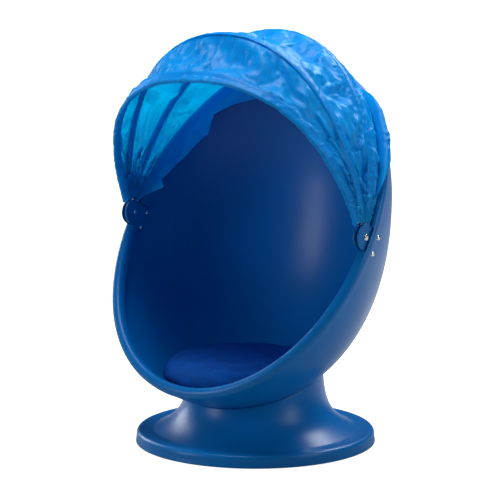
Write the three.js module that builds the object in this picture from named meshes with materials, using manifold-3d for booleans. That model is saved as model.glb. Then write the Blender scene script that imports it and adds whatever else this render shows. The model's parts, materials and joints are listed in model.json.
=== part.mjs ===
// A child's egg-shaped swivel chair with a pull-down fabric hood, in millimetres.
// The frame has +Z up, the opening facing -Y, and its origin on the floor on the swivel axis.

import * as THREE from "three";
import { mergeVertices } from "three/addons/utils/BufferGeometryUtils.js";
import Module from "manifold-3d";

const wasm = await Module();
wasm.setup();

const { PI } = Math;
const radians = THREE.MathUtils.degToRad;
const mix = THREE.MathUtils.lerp;

// Shell: an egg on a leaning axis, open on a sloping plane, with a thick rolled lip.
const egg_radius = 302;
const egg_upper_half = 373;
const egg_lower_half = 418;
const egg_centre_y = -63;
const egg_base_height = 82;
const egg_centre_z = egg_base_height + egg_lower_half;
const egg_lean_deg = 4.2;
const egg_taper_share = -0.041;
const egg_underside_power = 2.24;
const shell_wall = 5;
const opening_slope_deg = 32.5;
const lip_set_back = 58.5;
const lip_depth = 19.5;
const lip_proud = 2.8;
const lip_inset = 13;
const lip_chamfer = 3;

// Pedestal: a trumpet neck on a round flange, hollow from below.
const flange_radius = 235.5;
const flange_foot_spread = 1.5;
const flange_foot_radius = flange_radius + flange_foot_spread;
const flange_top = 26;
const flange_round = 10;
const flange_clearance = 2;
const pedestal_wall = 4;
const neck_radius = 132.5;
const neck_flare = 70;
const neck_flare_height = 30;
const neck_reach = 165;
const neck_row_bunching = 1.6;
const deck_thickness = 10;

// Swivel under the pedestal: floor plate, ball race, carrier plate and centre stud.
const carrier_set_in = 30.5;
const carrier_radius = flange_radius - carrier_set_in;
const plate_set_in = 15;
const plate_radius = carrier_radius - plate_set_in;
const plate_thickness = 3;
const mat_set_in = 4;
const mat_radius = plate_radius - mat_set_in;
const mat_thickness = 2.5;
const race_inner_radius = 58;
const race_outer_radius = 82;
const race_thickness = 4;
const race_groove = 2.5;
const ball_radius = 5;
const ball_count = 8;
const ball_gap = 0.3;
const ball_side_gap = 0.8;
const cage_thickness = 2.5;
const cage_margin = 2;
const carrier_thickness = 2.6;
const carrier_hub_radius = 11;
const carrier_screw_set_in = 29;
const carrier_screw_ring = carrier_radius - carrier_screw_set_in;
const carrier_screw_count = 4;
const carrier_screw_radius = 2.5;
const carrier_screw_head = 5;
const carrier_screw_length = 10;
const carrier_boss_radius = 8;
const carrier_boss_height = 14;
const stud_radius = 6;
const stud_length = 27;
const bush_flange = 5;
const bush_thickness = 1.5;
const stud_washer_radius = 17;
const stud_washer_thickness = 1.6;
const stud_nut_radius = 10;
const stud_nut_thickness = 6;

// Bolts that hold the shell on the pedestal.
const shell_bolt_x = 72;
const shell_bolt_front_y = -78;
const shell_bolt_rear_y = 28;
const shell_bolt_radius = 4;
const shell_bolt_head_radius = 7.5;
const shell_bolt_head_height = 3.5;
const shell_washer_radius = 10;
const shell_washer_thickness = 1.2;
const shell_nut_radius = 7.5;
const shell_nut_height = 6.5;
const shell_bolt_spare = 2;
const bolt_pad_radius = 13;
const bolt_pad_height = 2.6;

// Seat cushion: a foam pad in a loose cover that is open underneath.
const cushion_radius = 152;
const cushion_y = -40;
const cushion_top = 174;
const cushion_crown = 8;
const cushion_round = 32;
const cushion_cover = 2.2;
const cushion_open_radius = 118;
const bolt_head_room = 2;

// Hood hinges: a bracket inside each wall, an outer disc, and a rivet on the hood's axis.
const hinge_set_back = 22;
const hinge_y = egg_centre_y + hinge_set_back;
const hinge_drop = 64;
const hinge_z = egg_centre_z - hinge_drop;
const hinge_set_in = 20.8;
const bracket_inner_x = egg_radius - hinge_set_in;
const bracket_thickness = 4.9;
const hinge_disc_radius = 25;
const hinge_gap = 5.4;
const hinge_disc_thickness = 3;
const rivet_radius = 2.9;
const rivet_head_radius = 6.5;
const rivet_head_height = 3;
const rivet_dome_radius = 4.2;
const upper_screw_set_back = 37;
const upper_screw_drop = 5;
const hinge_screw_upper_y = hinge_y + upper_screw_set_back;
const hinge_screw_upper_z = hinge_z - upper_screw_drop;
const lower_screw_set_back = 18;
const lower_screw_drop = 33;
const hinge_screw_lower_y = hinge_y + lower_screw_set_back;
const hinge_screw_lower_z = hinge_z - lower_screw_drop;
const hinge_screw_radius = 2.4;
const hinge_screw_head = 4.4;
const hinge_screw_pad = 8;
const hinge_nut_radius = 5;
const hinge_nut_height = 4;

// Hood bows, front to rear: angle above the forward horizon, reach over the top, squareness.
const bow_wire_radius = 1.6;
const bow_eyelet_radius = 7;
const bow_blade_width = 4;
const bow_blade_thickness = 1;
const bow_blade_gap = 0.3;
const bow_blade_length = 29;
const bow_1_angle_deg = 63.5;
const bow_2_angle_deg = 82;
const bow_3_angle_deg = 107;
const bow_4_angle_deg = 122.5;
const bow_1_short = 51;
const bow_1_reach = egg_upper_half - bow_1_short;
const bow_2_short = 3;
const bow_2_reach = egg_upper_half - bow_2_short;
const bow_3_over = 11;
const bow_3_reach = egg_upper_half + bow_3_over;
const bow_4_over = 6;
const bow_4_reach = egg_upper_half + bow_4_over;
const bow_squareness = [2.4, 2.14, 2.03, 1.85];

// Hood fabric: one gore between each pair of bows, and a loose flap behind the last one.
const fabric_thickness = 1.2;
const fabric_start = 44;
const fabric_clearance = 0.35;
const gore_sag = 9;
const flap_clearance = 0.9;
const flap_over_lip = 28;
const flap_drop = 84;
const flap_angle_deg = 11;

// Running clearances and the overrun of cuts.
const fit_gap = 0.3;
const hole_clearance = 0.5;
const cut_over = 6;

// How finely round things are divided.
const egg_segments = 32;
const egg_rows = 16;
const lip_segments = 40;
const round_segments = 32;
const disc_segments = 16;
const small_segments = 8;
const bow_steps = 20;
const gore_steps = 18;
const gore_rows = 2;
const flap_rows = 4;

const materials = {
  shell_blue: new THREE.MeshStandardMaterial({ color: 0x0b5fb4, roughness: 0.42 }),
  hood_fabric: new THREE.MeshStandardMaterial({ color: 0x1f8fe8, roughness: 0.6, side: THREE.DoubleSide }),
  cushion_fabric: new THREE.MeshStandardMaterial({ color: 0x123f8c, roughness: 0.9 }),
  foam: new THREE.MeshStandardMaterial({ color: 0xd9d2bf, roughness: 1 }),
  bright_steel: new THREE.MeshStandardMaterial({ color: 0xd4d8db, roughness: 0.2, metalness: 1 }),
  plated_steel: new THREE.MeshStandardMaterial({ color: 0x9a9fa3, roughness: 0.4, metalness: 1 }),
  dark_rubber: new THREE.MeshStandardMaterial({ color: 0x25282b, roughness: 0.9 }),
  white_nylon: new THREE.MeshStandardMaterial({ color: 0xe8e6df, roughness: 0.5 }),
};

const chair = new THREE.Group();

function solidOf(geometry) {
  const bare = geometry.clone();
  bare.deleteAttribute("normal");
  bare.deleteAttribute("uv");
  const merged = mergeVertices(bare);
  const vertProperties = new Float32Array(merged.attributes.position.array);
  const triVerts = new Uint32Array(merged.index.array);
  return new wasm.Manifold(new wasm.Mesh({ numProp: 3, vertProperties, triVerts }));
}

function geometryOf(solid) {
  const mesh = solid.getMesh();
  const geometry = new THREE.BufferGeometry();
  geometry.setAttribute("position", new THREE.BufferAttribute(new Float32Array(mesh.vertProperties), 3));
  geometry.setIndex(new THREE.BufferAttribute(new Uint32Array(mesh.triVerts), 1));
  return geometry;
}

function add(name, shape, material, parent = chair) {
  const geometry = shape.isBufferGeometry ? shape : geometryOf(shape);
  const mesh = new THREE.Mesh(geometry, materials[material]);
  mesh.name = name;
  parent.add(mesh);
  return mesh;
}

// Basic solids, each standing on the axis or plane that its name says.

function turned(points, segments) {
  const outline = points.map(([radius, height]) => new THREE.Vector2(radius, height));
  return new THREE.LatheGeometry(outline, segments).rotateX(PI / 2);
}

function disc(radius, low, high, segments = disc_segments) {
  return turned([[0, low], [radius, low], [radius, high], [0, high]], segments);
}

function ring(inner, outer, low, high, segments = round_segments) {
  return turned([[inner, low], [outer, low], [outer, high], [inner, high], [inner, low]], segments);
}

function hexagon(radius, low, high) {
  return disc(radius, low, high, 6);
}

// A button head: flat below at the height low, domed above.
function dome(radius, low, height) {
  const outline = [[0, low], [radius, low]];
  const bends = 3;
  for (let i = 1; i <= bends; i++) {
    const turn = (i / bends) * (PI / 2);
    outline.push([radius * Math.cos(turn), low + height * Math.sin(turn)]);
  }
  outline[outline.length - 1][0] = 0;
  return turned(outline, small_segments);
}

// Turns a solid that stands on +Z so that it stands on +X, or on -X for side -1.
function alongX(geometry, side) {
  return geometry.rotateY((side * PI) / 2);
}

// The egg: its axis leans back by the lean angle.

const lean = radians(egg_lean_deg);
const egg_axis = new THREE.Vector3(0, Math.sin(lean), Math.cos(lean));
const egg_centre = new THREE.Vector3(0, egg_centre_y, egg_centre_z);

function eggRadius(share, offset) {
  const power = share < 0 ? egg_underside_power : 2;
  const round = Math.sqrt(Math.max(0, 1 - Math.abs(share) ** power));
  return (egg_radius + offset) * round * (1 + egg_taper_share * share);
}

function eggHeight(share, offset) {
  return share * ((share < 0 ? egg_lower_half : egg_upper_half) + offset);
}

function eggSolid(offset) {
  const outline = [];
  for (let i = 0; i <= egg_rows; i++) {
    const share = -Math.cos((i / egg_rows) * PI);
    outline.push([eggRadius(share, offset), eggHeight(share, offset)]);
  }
  outline[0][0] = 0;
  outline[egg_rows][0] = 0;
  const geometry = turned(outline, egg_segments).rotateX(-lean);
  return solidOf(geometry.translate(0, egg_centre_y, egg_centre_z));
}

// Less than zero inside the egg, and about the distance outside it.
function eggField(point, offset = 0) {
  const from = point.clone().sub(egg_centre);
  const height = from.dot(egg_axis);
  const half = (height < 0 ? egg_lower_half : egg_upper_half) + offset;
  const share = THREE.MathUtils.clamp(height / half, -1, 1);
  return from.addScaledVector(egg_axis, -height).length() - eggRadius(share, offset);
}

// The egg's lowest point over a place on the floor, found by halving.
function eggUnderside(x, y) {
  let outside = 0;
  let inside = egg_centre_z;
  for (let i = 0; i < 40; i++) {
    const middle = (outside + inside) / 2;
    if (eggField(new THREE.Vector3(x, y, middle)) > 0) {
      outside = middle;
    } else {
      inside = middle;
    }
  }
  return new THREE.Vector3(x, y, inside);
}

// How far the egg's surface is from the middle plane at a height and depth.
function eggWallX(y, z, offset) {
  let inside = 0;
  let outside = 2 * egg_radius;
  for (let i = 0; i < 40; i++) {
    const middle = (outside + inside) / 2;
    if (eggField(new THREE.Vector3(middle, y, z), offset) > 0) {
      outside = middle;
    } else {
      inside = middle;
    }
  }
  return inside;
}

// The direction out of the egg's surface at a point.
function eggNormal(point) {
  const step = shell_wall / 50;
  const base = eggField(point);
  const slope = ["x", "y", "z"].map((axis) => {
    const moved = point.clone();
    moved[axis] += step;
    return eggField(moved) - base;
  });
  return new THREE.Vector3(...slope).normalize();
}

// The opening plane faces forward and up; heights are measured along its normal from the egg's centre.

const opening_slope = radians(opening_slope_deg);
const lip_front = -lip_set_back;
const lip_rear = lip_front - lip_depth;

function openingSlab(low, high) {
  const wide = 4 * egg_radius;
  const slab = new THREE.BoxGeometry(wide, wide, high - low).translate(0, 0, (low + high) / 2);
  return solidOf(slab.rotateX(PI / 2 - opening_slope).translate(0, egg_centre_y, egg_centre_z));
}

const opening_normal = new THREE.Vector3(0, -Math.cos(opening_slope), Math.sin(opening_slope));
const opening_up = new THREE.Vector3(0, Math.sin(opening_slope), Math.cos(opening_slope));

// Where the egg, grown by an offset, meets a plane parallel to the opening, in one direction.
function lipPoint(turn, height, offset) {
  const centre = egg_centre.clone().addScaledVector(opening_normal, height);
  const outward = new THREE.Vector3(Math.cos(turn), 0, 0).addScaledVector(opening_up, Math.sin(turn));
  let inside = 0;
  let outside = 2 * egg_upper_half;
  for (let i = 0; i < 40; i++) {
    const middle = (inside + outside) / 2;
    if (eggField(centre.clone().addScaledVector(outward, middle), offset) > 0) {
      outside = middle;
    } else {
      inside = middle;
    }
  }
  return centre.addScaledVector(outward, inside);
}

// The lip is a ring of one chamfered section, swept round the opening.
function lipRing() {
  const section = [];
  const corners = [
    [lip_front, lip_proud, -1, -1],
    [lip_front, -lip_inset, -1, 1],
    [lip_rear, -lip_inset, 1, 1],
    [lip_rear, lip_proud, 1, -1],
  ];
  corners.forEach(([height, offset, down, over], i) => {
    const along_face = [height, offset + over * lip_chamfer];
    const along_side = [height + down * lip_chamfer, offset];
    section.push(...(i % 2 === 0 ? [along_side, along_face] : [along_face, along_side]));
  });
  const positions = [];
  for (let i = 0; i < lip_segments; i++) {
    const turn = (2 * PI * i) / lip_segments;
    for (const [height, offset] of section) {
      positions.push(...lipPoint(turn, height, offset).toArray());
    }
  }
  const count = section.length;
  const faces = [];
  for (let i = 0; i < lip_segments; i++) {
    const next = (i + 1) % lip_segments;
    for (let j = 0; j < count; j++) {
      const beside = (j + 1) % count;
      faces.push(i * count + j, next * count + j, next * count + beside);
      faces.push(i * count + j, next * count + beside, i * count + beside);
    }
  }
  const geometry = new THREE.BufferGeometry();
  geometry.setAttribute("position", new THREE.BufferAttribute(new Float32Array(positions), 3));
  geometry.setIndex(faces);
  return solidOf(geometry);
}

// Swivel stack heights, from the floor up.
const plate_low = mat_thickness;
const plate_high = plate_low + plate_thickness;
const lower_race_high = plate_high + race_thickness;
const ball_z = lower_race_high - race_groove + ball_gap + ball_radius;
const upper_race_low = 2 * ball_z - lower_race_high;
const carrier_low = upper_race_low + race_thickness;
const carrier_high = carrier_low + carrier_thickness;
const ball_ring = (race_inner_radius + race_outer_radius) / 2;
const bush_high = carrier_high + fit_gap + bush_thickness;
const stud_washer_low = bush_high + fit_gap;
const stud_nut_low = stud_washer_low + stud_washer_thickness;

// A flat ring with a groove of sloping sides for the balls, in its face.
function race(face, back) {
  const floor = face + Math.sign(back - face) * race_groove;
  const wide = ball_radius + ball_side_gap;
  const narrow = wide - race_groove * ball_side_gap;
  const outline = [[race_inner_radius, back], [race_outer_radius, back], [race_outer_radius, face]];
  outline.push([ball_ring + wide, face], [ball_ring + narrow, floor]);
  outline.push([ball_ring - narrow, floor], [ball_ring - wide, face]);
  outline.push([race_inner_radius, face], [race_inner_radius, back]);
  return turned(face > back ? outline : outline.reverse(), round_segments);
}

function ballCage() {
  const inner = race_inner_radius + cage_margin;
  const outer = race_outer_radius - cage_margin;
  const low = ball_z - cage_thickness / 2;
  let cage = solidOf(ring(inner, outer, low, low + cage_thickness));
  const hole_radius = (ball_radius + fit_gap) / Math.cos(PI / small_segments);
  for (let i = 0; i < ball_count; i++) {
    const turn = (2 * PI * i) / ball_count;
    const hole = disc(hole_radius, low - cut_over, low + cage_thickness + cut_over, small_segments);
    cage = cage.subtract(solidOf(hole.translate(ball_ring * Math.cos(turn), ball_ring * Math.sin(turn), 0)));
  }
  return cage;
}

function addFloorUnit() {
  add("anti_slip_mat", disc(mat_radius, 0, mat_thickness, round_segments), "dark_rubber");
  add("floor_plate", disc(plate_radius, plate_low, plate_high, round_segments), "plated_steel");
  add("lower_race", race(lower_race_high, plate_high), "plated_steel");
  add("pivot_stud", disc(stud_radius, plate_high, plate_high + stud_length), "plated_steel");
  const hole = stud_radius + fit_gap;
  const washer_high = stud_washer_low + stud_washer_thickness;
  const nut_high = stud_nut_low + fit_gap + stud_nut_thickness;
  const washer = ring(hole, stud_washer_radius, stud_washer_low, washer_high, disc_segments);
  add("pivot_washer", washer, "plated_steel");
  const nut = solidOf(hexagon(stud_nut_radius, stud_nut_low + fit_gap, nut_high));
  const bore = solidOf(disc(hole, 0, nut_high + cut_over));
  add("pivot_nut", nut.subtract(bore), "plated_steel");
}

function addBearing() {
  add("ball_cage", ballCage(), "white_nylon");
  for (let i = 0; i < ball_count; i++) {
    const turn = (2 * PI * i) / ball_count;
    const ball = add(`bearing_ball_${i + 1}`, new THREE.SphereGeometry(ball_radius, 8, 6), "bright_steel");
    ball.position.set(ball_ring * Math.cos(turn), ball_ring * Math.sin(turn), ball_z);
  }
}

// The pedestal's outline is a rounded flange that sweeps up into the neck.

function neckOutline(inward) {
  const points = [];
  const rows = 6;
  for (let i = 0; i <= rows; i++) {
    const rise = neck_reach * (i / rows) ** neck_row_bunching;
    const flare = neck_flare * Math.exp(-rise / neck_flare_height);
    points.push([neck_radius + flare - inward, flange_top + rise - inward]);
  }
  return points;
}

function flangeOutline(inward) {
  const foot = flange_clearance;
  const points = [[flange_foot_radius - inward, foot], [flange_radius - inward, flange_top - flange_round]];
  const bends = 3;
  for (let i = 1; i <= bends; i++) {
    const turn = (i / bends) * (PI / 2);
    const across = flange_round * (1 - Math.cos(turn));
    const up = flange_round * Math.sin(turn);
    points.push([flange_radius - inward - across, flange_top - flange_round + up - inward * Math.sin(turn)]);
  }
  return points;
}

function trumpet(inward) {
  const points = [...flangeOutline(inward), ...neckOutline(inward)];
  const top = points[points.length - 1][1];
  if (inward > 0) {
    points[0][1] -= cut_over;
  }
  return solidOf(turned([[0, points[0][1]], ...points, [0, top]], round_segments));
}

function carrierScrewPlaces() {
  return Array.from({ length: carrier_screw_count }, (_, i) => {
    const turn = (2 * PI * (i + 0.5)) / carrier_screw_count;
    return [carrier_screw_ring * Math.cos(turn), carrier_screw_ring * Math.sin(turn)];
  });
}

function shellBoltPlaces() {
  const places = [];
  for (const y of [shell_bolt_front_y, shell_bolt_rear_y]) {
    for (const x of [-shell_bolt_x, shell_bolt_x]) {
      const point = eggUnderside(x, y);
      places.push({ point, normal: eggNormal(point) });
    }
  }
  return places;
}

// Along a shell bolt, heights are measured outward from the egg's surface; it clamps between two flat pads.
const bolt_seat_in = -(shell_wall + bolt_pad_height);
const bolt_seat_out = fit_gap + deck_thickness + bolt_pad_height;
const shell_washer_high = bolt_seat_in - fit_gap;
const shell_washer_low = shell_washer_high - shell_washer_thickness;
const shell_head_high = shell_washer_low - fit_gap;
const shell_head_low = shell_head_high - shell_bolt_head_height;
const shell_nut_low = bolt_seat_out + fit_gap;
const shell_nut_high = shell_nut_low + shell_nut_height;

// Puts a solid that stands on +Z at a shell bolt, with +Z pointing out of the shell.
function atShellBolt(geometry, place) {
  const turn = new THREE.Quaternion().setFromUnitVectors(new THREE.Vector3(0, 0, 1), place.normal);
  return geometry.applyQuaternion(turn).translate(place.point.x, place.point.y, place.point.z);
}

function shellBoltHoles(solid) {
  for (const place of shellBoltPlaces()) {
    const reach = deck_thickness + shell_wall + cut_over;
    const hole = disc(shell_bolt_radius + hole_clearance, -reach, reach, small_segments);
    solid = solid.subtract(solidOf(atShellBolt(hole, place)));
  }
  return solid;
}

function pedestal() {
  const outside = trumpet(0);
  let cavity = trumpet(pedestal_wall).subtract(eggSolid(fit_gap + deck_thickness));
  for (const place of shellBoltPlaces()) {
    const pad = disc(bolt_pad_radius, fit_gap + deck_thickness / 2, bolt_seat_out, small_segments);
    cavity = cavity.subtract(solidOf(atShellBolt(pad, place)));
  }
  for (const [x, y] of carrierScrewPlaces()) {
    const boss = disc(carrier_boss_radius, carrier_high, carrier_high + carrier_boss_height, small_segments);
    cavity = cavity.subtract(solidOf(boss.translate(x, y, 0)));
    const depth = carrier_high + carrier_screw_length;
    const hole = disc(carrier_screw_radius + hole_clearance / 2, 0, depth, small_segments);
    cavity = cavity.add(solidOf(hole.translate(x, y, 0)));
  }
  return shellBoltHoles(outside.subtract(cavity).subtract(eggSolid(fit_gap)));
}

function carrierPlate() {
  let plate = solidOf(ring(carrier_hub_radius, carrier_radius, carrier_low, carrier_high));
  for (const [x, y] of carrierScrewPlaces()) {
    const hole = disc(carrier_screw_radius + hole_clearance, 0, carrier_high + cut_over, small_segments);
    plate = plate.subtract(solidOf(hole.translate(x, y, 0)));
  }
  return plate;
}

function carrierScrew() {
  const head_low = carrier_low - fit_gap - carrier_screw_radius;
  const head_high = carrier_low - fit_gap;
  const tip = carrier_high + carrier_screw_length - fit_gap;
  const outline = [[0, head_low], [carrier_screw_head, head_low], [carrier_screw_head, head_high]];
  outline.push([carrier_screw_radius, head_high], [carrier_screw_radius, tip], [0, tip]);
  return turned(outline, small_segments);
}

function pivotBush() {
  const inner = stud_radius + fit_gap;
  const outer = carrier_hub_radius - fit_gap;
  const lip = outer + bush_flange;
  const low = carrier_low;
  const seat = carrier_high + fit_gap;
  const outline = [[inner, low], [outer, low], [outer, seat], [lip, seat], [lip, bush_high]];
  outline.push([inner, bush_high], [inner, low]);
  return turned(outline, disc_segments);
}

function addPedestal() {
  add("pedestal", pedestal(), "shell_blue");
  add("carrier_plate", carrierPlate(), "plated_steel");
  add("upper_race", race(upper_race_low, carrier_low), "plated_steel");
  add("pivot_bush", pivotBush(), "white_nylon");
  carrierScrewPlaces().forEach(([x, y], i) => {
    add(`carrier_screw_${i + 1}`, carrierScrew(), "plated_steel").position.set(x, y, 0);
  });
}

// The hinge gap holds the bows' blades, and the outer disc closes it.
const bracket_outer_x = bracket_inner_x + bracket_thickness;
const hinge_disc_x = bracket_outer_x + hinge_gap;
const hinge_disc_outer_x = hinge_disc_x + hinge_disc_thickness;

function hingeScrewPlaces() {
  return [
    ["upper", hinge_screw_upper_y, hinge_screw_upper_z],
    ["lower", hinge_screw_lower_y, hinge_screw_lower_z],
  ];
}

// A round bar along X on one side of the chair, from one distance off the middle plane to another.
function crossBar(radius, near, far, y, z, side, segments = small_segments) {
  return solidOf(alongX(disc(radius, near, far, segments), side).translate(0, y, z));
}

// The flat of a bracket: a disc and an ear that runs back to the two screws, grown all round by a margin.
function bracketFlat(near, far, margin, side) {
  const radius = hinge_disc_radius + margin;
  const pad = hinge_screw_pad + margin;
  const [upper_y, upper_z] = [hinge_screw_upper_y, hinge_screw_upper_z];
  const [lower_y, lower_z] = [hinge_screw_lower_y, hinge_screw_lower_z];
  const outline = new THREE.Shape();
  outline.moveTo(hinge_y, hinge_z + radius * 0.8);
  outline.lineTo(upper_y + pad * 0.5, upper_z + pad);
  outline.lineTo(upper_y + pad, upper_z - pad * 0.3);
  outline.lineTo(lower_y + pad, lower_z - pad * 0.3);
  outline.lineTo(lower_y, lower_z - pad);
  outline.lineTo(hinge_y, hinge_z - radius * 0.8);
  const ear = new THREE.ExtrudeGeometry(outline, { depth: far - near, bevelEnabled: false });
  const turn = new THREE.Matrix4().makeBasis(
    new THREE.Vector3(0, 1, 0),
    new THREE.Vector3(0, 0, 1),
    new THREE.Vector3(1, 0, 0),
  );
  ear.applyMatrix4(turn).translate(side > 0 ? near : -far, 0, 0);
  return crossBar(radius, near, far, hinge_y, hinge_z, side, disc_segments).add(solidOf(ear));
}

function shell() {
  const wall = eggSolid(0).subtract(eggSolid(-shell_wall));
  let body = wall.intersect(openingSlab(-4 * egg_radius, lip_rear + lip_depth / 2)).add(lipRing());
  for (const place of shellBoltPlaces()) {
    const pad = disc(bolt_pad_radius, bolt_seat_in, -shell_wall / 2, small_segments);
    body = body.add(solidOf(atShellBolt(pad, place)));
  }
  for (const side of [-1, 1]) {
    const margin = 2 * hole_clearance;
    const near = bracket_inner_x - cut_over;
    const far = hinge_disc_outer_x + rivet_head_height + 2 * fit_gap;
    const notch = crossBar(hinge_disc_radius + margin, near, far, hinge_y, hinge_z, side, disc_segments);
    body = body.subtract(notch).subtract(bracketFlat(near, bracket_outer_x + fit_gap, margin, side));
    for (const [, y, z] of hingeScrewPlaces()) {
      const hole = hinge_screw_radius + hole_clearance;
      body = body.subtract(crossBar(hole, bracket_outer_x, egg_radius + lip_proud + cut_over, y, z, side));
    }
  }
  return shellBoltHoles(body);
}

function shellBolt() {
  const shoulder = shell_head_low + shell_bolt_head_height / 2;
  const tip = shell_nut_high + shell_bolt_spare;
  const outline = [[0, shell_head_low], [shell_bolt_head_radius / 2, shell_head_low]];
  outline.push([shell_bolt_head_radius, shoulder], [shell_bolt_head_radius, shell_head_high]);
  outline.push([shell_bolt_radius, shell_head_high], [shell_bolt_radius, tip], [0, tip]);
  return turned(outline, small_segments);
}

function shellNut() {
  const bore = solidOf(disc(shell_bolt_radius + fit_gap, 0, shell_nut_high + cut_over, small_segments));
  return geometryOf(solidOf(hexagon(shell_nut_radius, shell_nut_low, shell_nut_high)).subtract(bore));
}

function addShell() {
  add("egg_shell", shell(), "shell_blue");
  const hole = shell_bolt_radius + hole_clearance;
  shellBoltPlaces().forEach((place, i) => {
    const washer = ring(hole, shell_washer_radius, shell_washer_low, shell_washer_high, small_segments);
    add(`shell_bolt_${i + 1}`, atShellBolt(shellBolt(), place), "plated_steel");
    add(`shell_washer_${i + 1}`, atShellBolt(washer, place), "plated_steel");
    add(`shell_nut_${i + 1}`, atShellBolt(shellNut(), place), "plated_steel");
  });
}

// The cushion's outline in side view, shrunk all round by the cover where it is the foam.
function cushionBlock(inward) {
  const radius = cushion_radius - inward;
  const top = cushion_top - inward;
  const points = [[0, 0], [radius, 0], [radius, top - cushion_round]];
  const bends = 3;
  for (let i = 1; i <= bends; i++) {
    const turn = (i / bends) * (PI / 2);
    const across = cushion_round * (1 - Math.cos(turn));
    points.push([radius - across, top - cushion_round + (cushion_round - cushion_crown) * Math.sin(turn)]);
  }
  points.push([(radius - cushion_round) / 2, top - cushion_crown / 4], [0, top]);
  return solidOf(turned(points, disc_segments).translate(0, cushion_y, 0));
}

function cushionFoam() {
  const inward = cushion_cover + fit_gap;
  let foam = cushionBlock(inward).intersect(eggSolid(-(shell_wall + fit_gap + inward)));
  for (const place of shellBoltPlaces()) {
    const pocket = disc(bolt_pad_radius + bolt_head_room, shell_head_low - bolt_head_room, 0, small_segments);
    foam = foam.subtract(solidOf(atShellBolt(pocket, place)));
  }
  return foam;
}

function cushionCover() {
  const outer = cushionBlock(0).intersect(eggSolid(-(shell_wall + fit_gap)));
  const inner = cushionBlock(cushion_cover).intersect(eggSolid(-(shell_wall + fit_gap + cushion_cover)));
  const opening_high = cushion_top - cushion_round - cushion_cover;
  const opening = disc(cushion_open_radius, 0, opening_high, disc_segments).translate(0, cushion_y, 0);
  const floor = solidOf(opening).subtract(eggSolid(-(shell_wall + fit_gap + 2 * cushion_cover)));
  return outer.subtract(inner).subtract(floor);
}

function addCushion() {
  add("cushion_foam", cushionFoam(), "foam");
  add("cushion_cover", cushionCover(), "cushion_fabric");
}

// Each bracket stands off on two feet that reach the shell's inner wall.
function bracket(side) {
  let body = bracketFlat(bracket_inner_x, bracket_outer_x, 0, side);
  const wall = eggSolid(-(shell_wall + fit_gap));
  for (const [, y, z] of hingeScrewPlaces()) {
    const reach = eggWallX(y, z, 0);
    body = body.add(crossBar(hinge_screw_pad * 0.75, bracket_inner_x, reach, y, z, side).intersect(wall));
    body = body.subtract(crossBar(hinge_screw_radius + hole_clearance, 0, reach, y, z, side));
  }
  const bore = rivet_radius + hole_clearance / 2;
  const through = bracket_outer_x + cut_over;
  return body.subtract(crossBar(bore, 0, through, hinge_y, hinge_z, side, disc_segments));
}

function hingeDisc(side) {
  const bore = rivet_radius + hole_clearance / 2;
  const plate = ring(bore, hinge_disc_radius, hinge_disc_x, hinge_disc_outer_x, disc_segments);
  return alongX(plate, side).translate(0, hinge_y, hinge_z);
}

// The rivet has a broad head outside and a small dome inside.
function hingeRivet(side) {
  const head_low = hinge_disc_outer_x + fit_gap;
  const head_high = head_low + rivet_head_height;
  const dome_high = bracket_inner_x - fit_gap;
  const dome_low = dome_high - rivet_head_height;
  const outline = [[0, dome_low], [rivet_dome_radius * 0.7, mix(dome_low, dome_high, 0.2)]];
  outline.push([rivet_dome_radius, mix(dome_low, dome_high, 0.7)], [rivet_dome_radius, dome_high]);
  outline.push([rivet_radius, dome_high], [rivet_radius, head_low], [rivet_head_radius, head_low]);
  outline.push([rivet_head_radius, mix(head_low, head_high, 0.3)]);
  outline.push([rivet_head_radius * 0.7, mix(head_low, head_high, 0.8)], [0, head_high]);
  return alongX(turned(outline, disc_segments), side).translate(0, hinge_y, hinge_z);
}

function hingeScrew(y, z, side) {
  const head_high = bracket_inner_x - fit_gap;
  const head_low = head_high - hinge_screw_head * 0.75;
  const tip = eggWallX(y, z, 0) + hinge_nut_height / 2;
  const outline = [[0, head_low], [hinge_screw_head * 0.7, head_low + hinge_screw_head * 0.15]];
  outline.push([hinge_screw_head, head_high - hinge_screw_head * 0.25], [hinge_screw_head, head_high]);
  outline.push([hinge_screw_radius, head_high], [hinge_screw_radius, tip], [0, tip]);
  return alongX(turned(outline, small_segments), side).translate(0, y, z);
}

// A cap nut whose base is cut to the shell's outer wall.
function hingeNut(y, z, side) {
  const wall = eggWallX(y, z, 0);
  const cap = solidOf(alongX(dome(hinge_nut_radius, wall, hinge_nut_height), side).translate(0, y, z));
  const skirt = crossBar(hinge_nut_radius, wall - shell_wall, wall, y, z, side);
  const tip = wall + hinge_nut_height / 2;
  const bore = crossBar(hinge_screw_radius + fit_gap, 0, tip + fit_gap, y, z, side);
  return cap.add(skirt).subtract(eggSolid(fit_gap)).subtract(bore);
}

function addHinges() {
  for (const [hand, side] of [["left", -1], ["right", 1]]) {
    add(`hinge_bracket_${hand}`, bracket(side), "shell_blue");
    add(`hinge_disc_${hand}`, hingeDisc(side), "shell_blue");
    add(`hinge_rivet_${hand}`, hingeRivet(side), "bright_steel");
    for (const [place, y, z] of hingeScrewPlaces()) {
      add(`bracket_screw_${hand}_${place}`, hingeScrew(y, z, side), "bright_steel");
      add(`bracket_nut_${hand}_${place}`, hingeNut(y, z, side), "bright_steel");
    }
  }
}

// Bows are wire hoops; in a bow's own frame the hinge is the X axis and +Y points along the bow's angle.

const bows = [
  [bow_1_angle_deg, bow_1_reach],
  [bow_2_angle_deg, bow_2_reach],
  [bow_3_angle_deg, bow_3_reach],
  [bow_4_angle_deg, bow_4_reach],
].map(([angle, reach], i) => {
  const first = bracket_outer_x + (hinge_gap - bladeStack(4)) / 2 + bow_blade_thickness / 2;
  const half_width = first + i * (bow_blade_thickness + bow_blade_gap);
  return { angle: radians(angle), reach, half_width, power: bow_squareness[i] };
});

function bladeStack(count) {
  return count * bow_blade_thickness + (count - 1) * bow_blade_gap;
}

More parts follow.
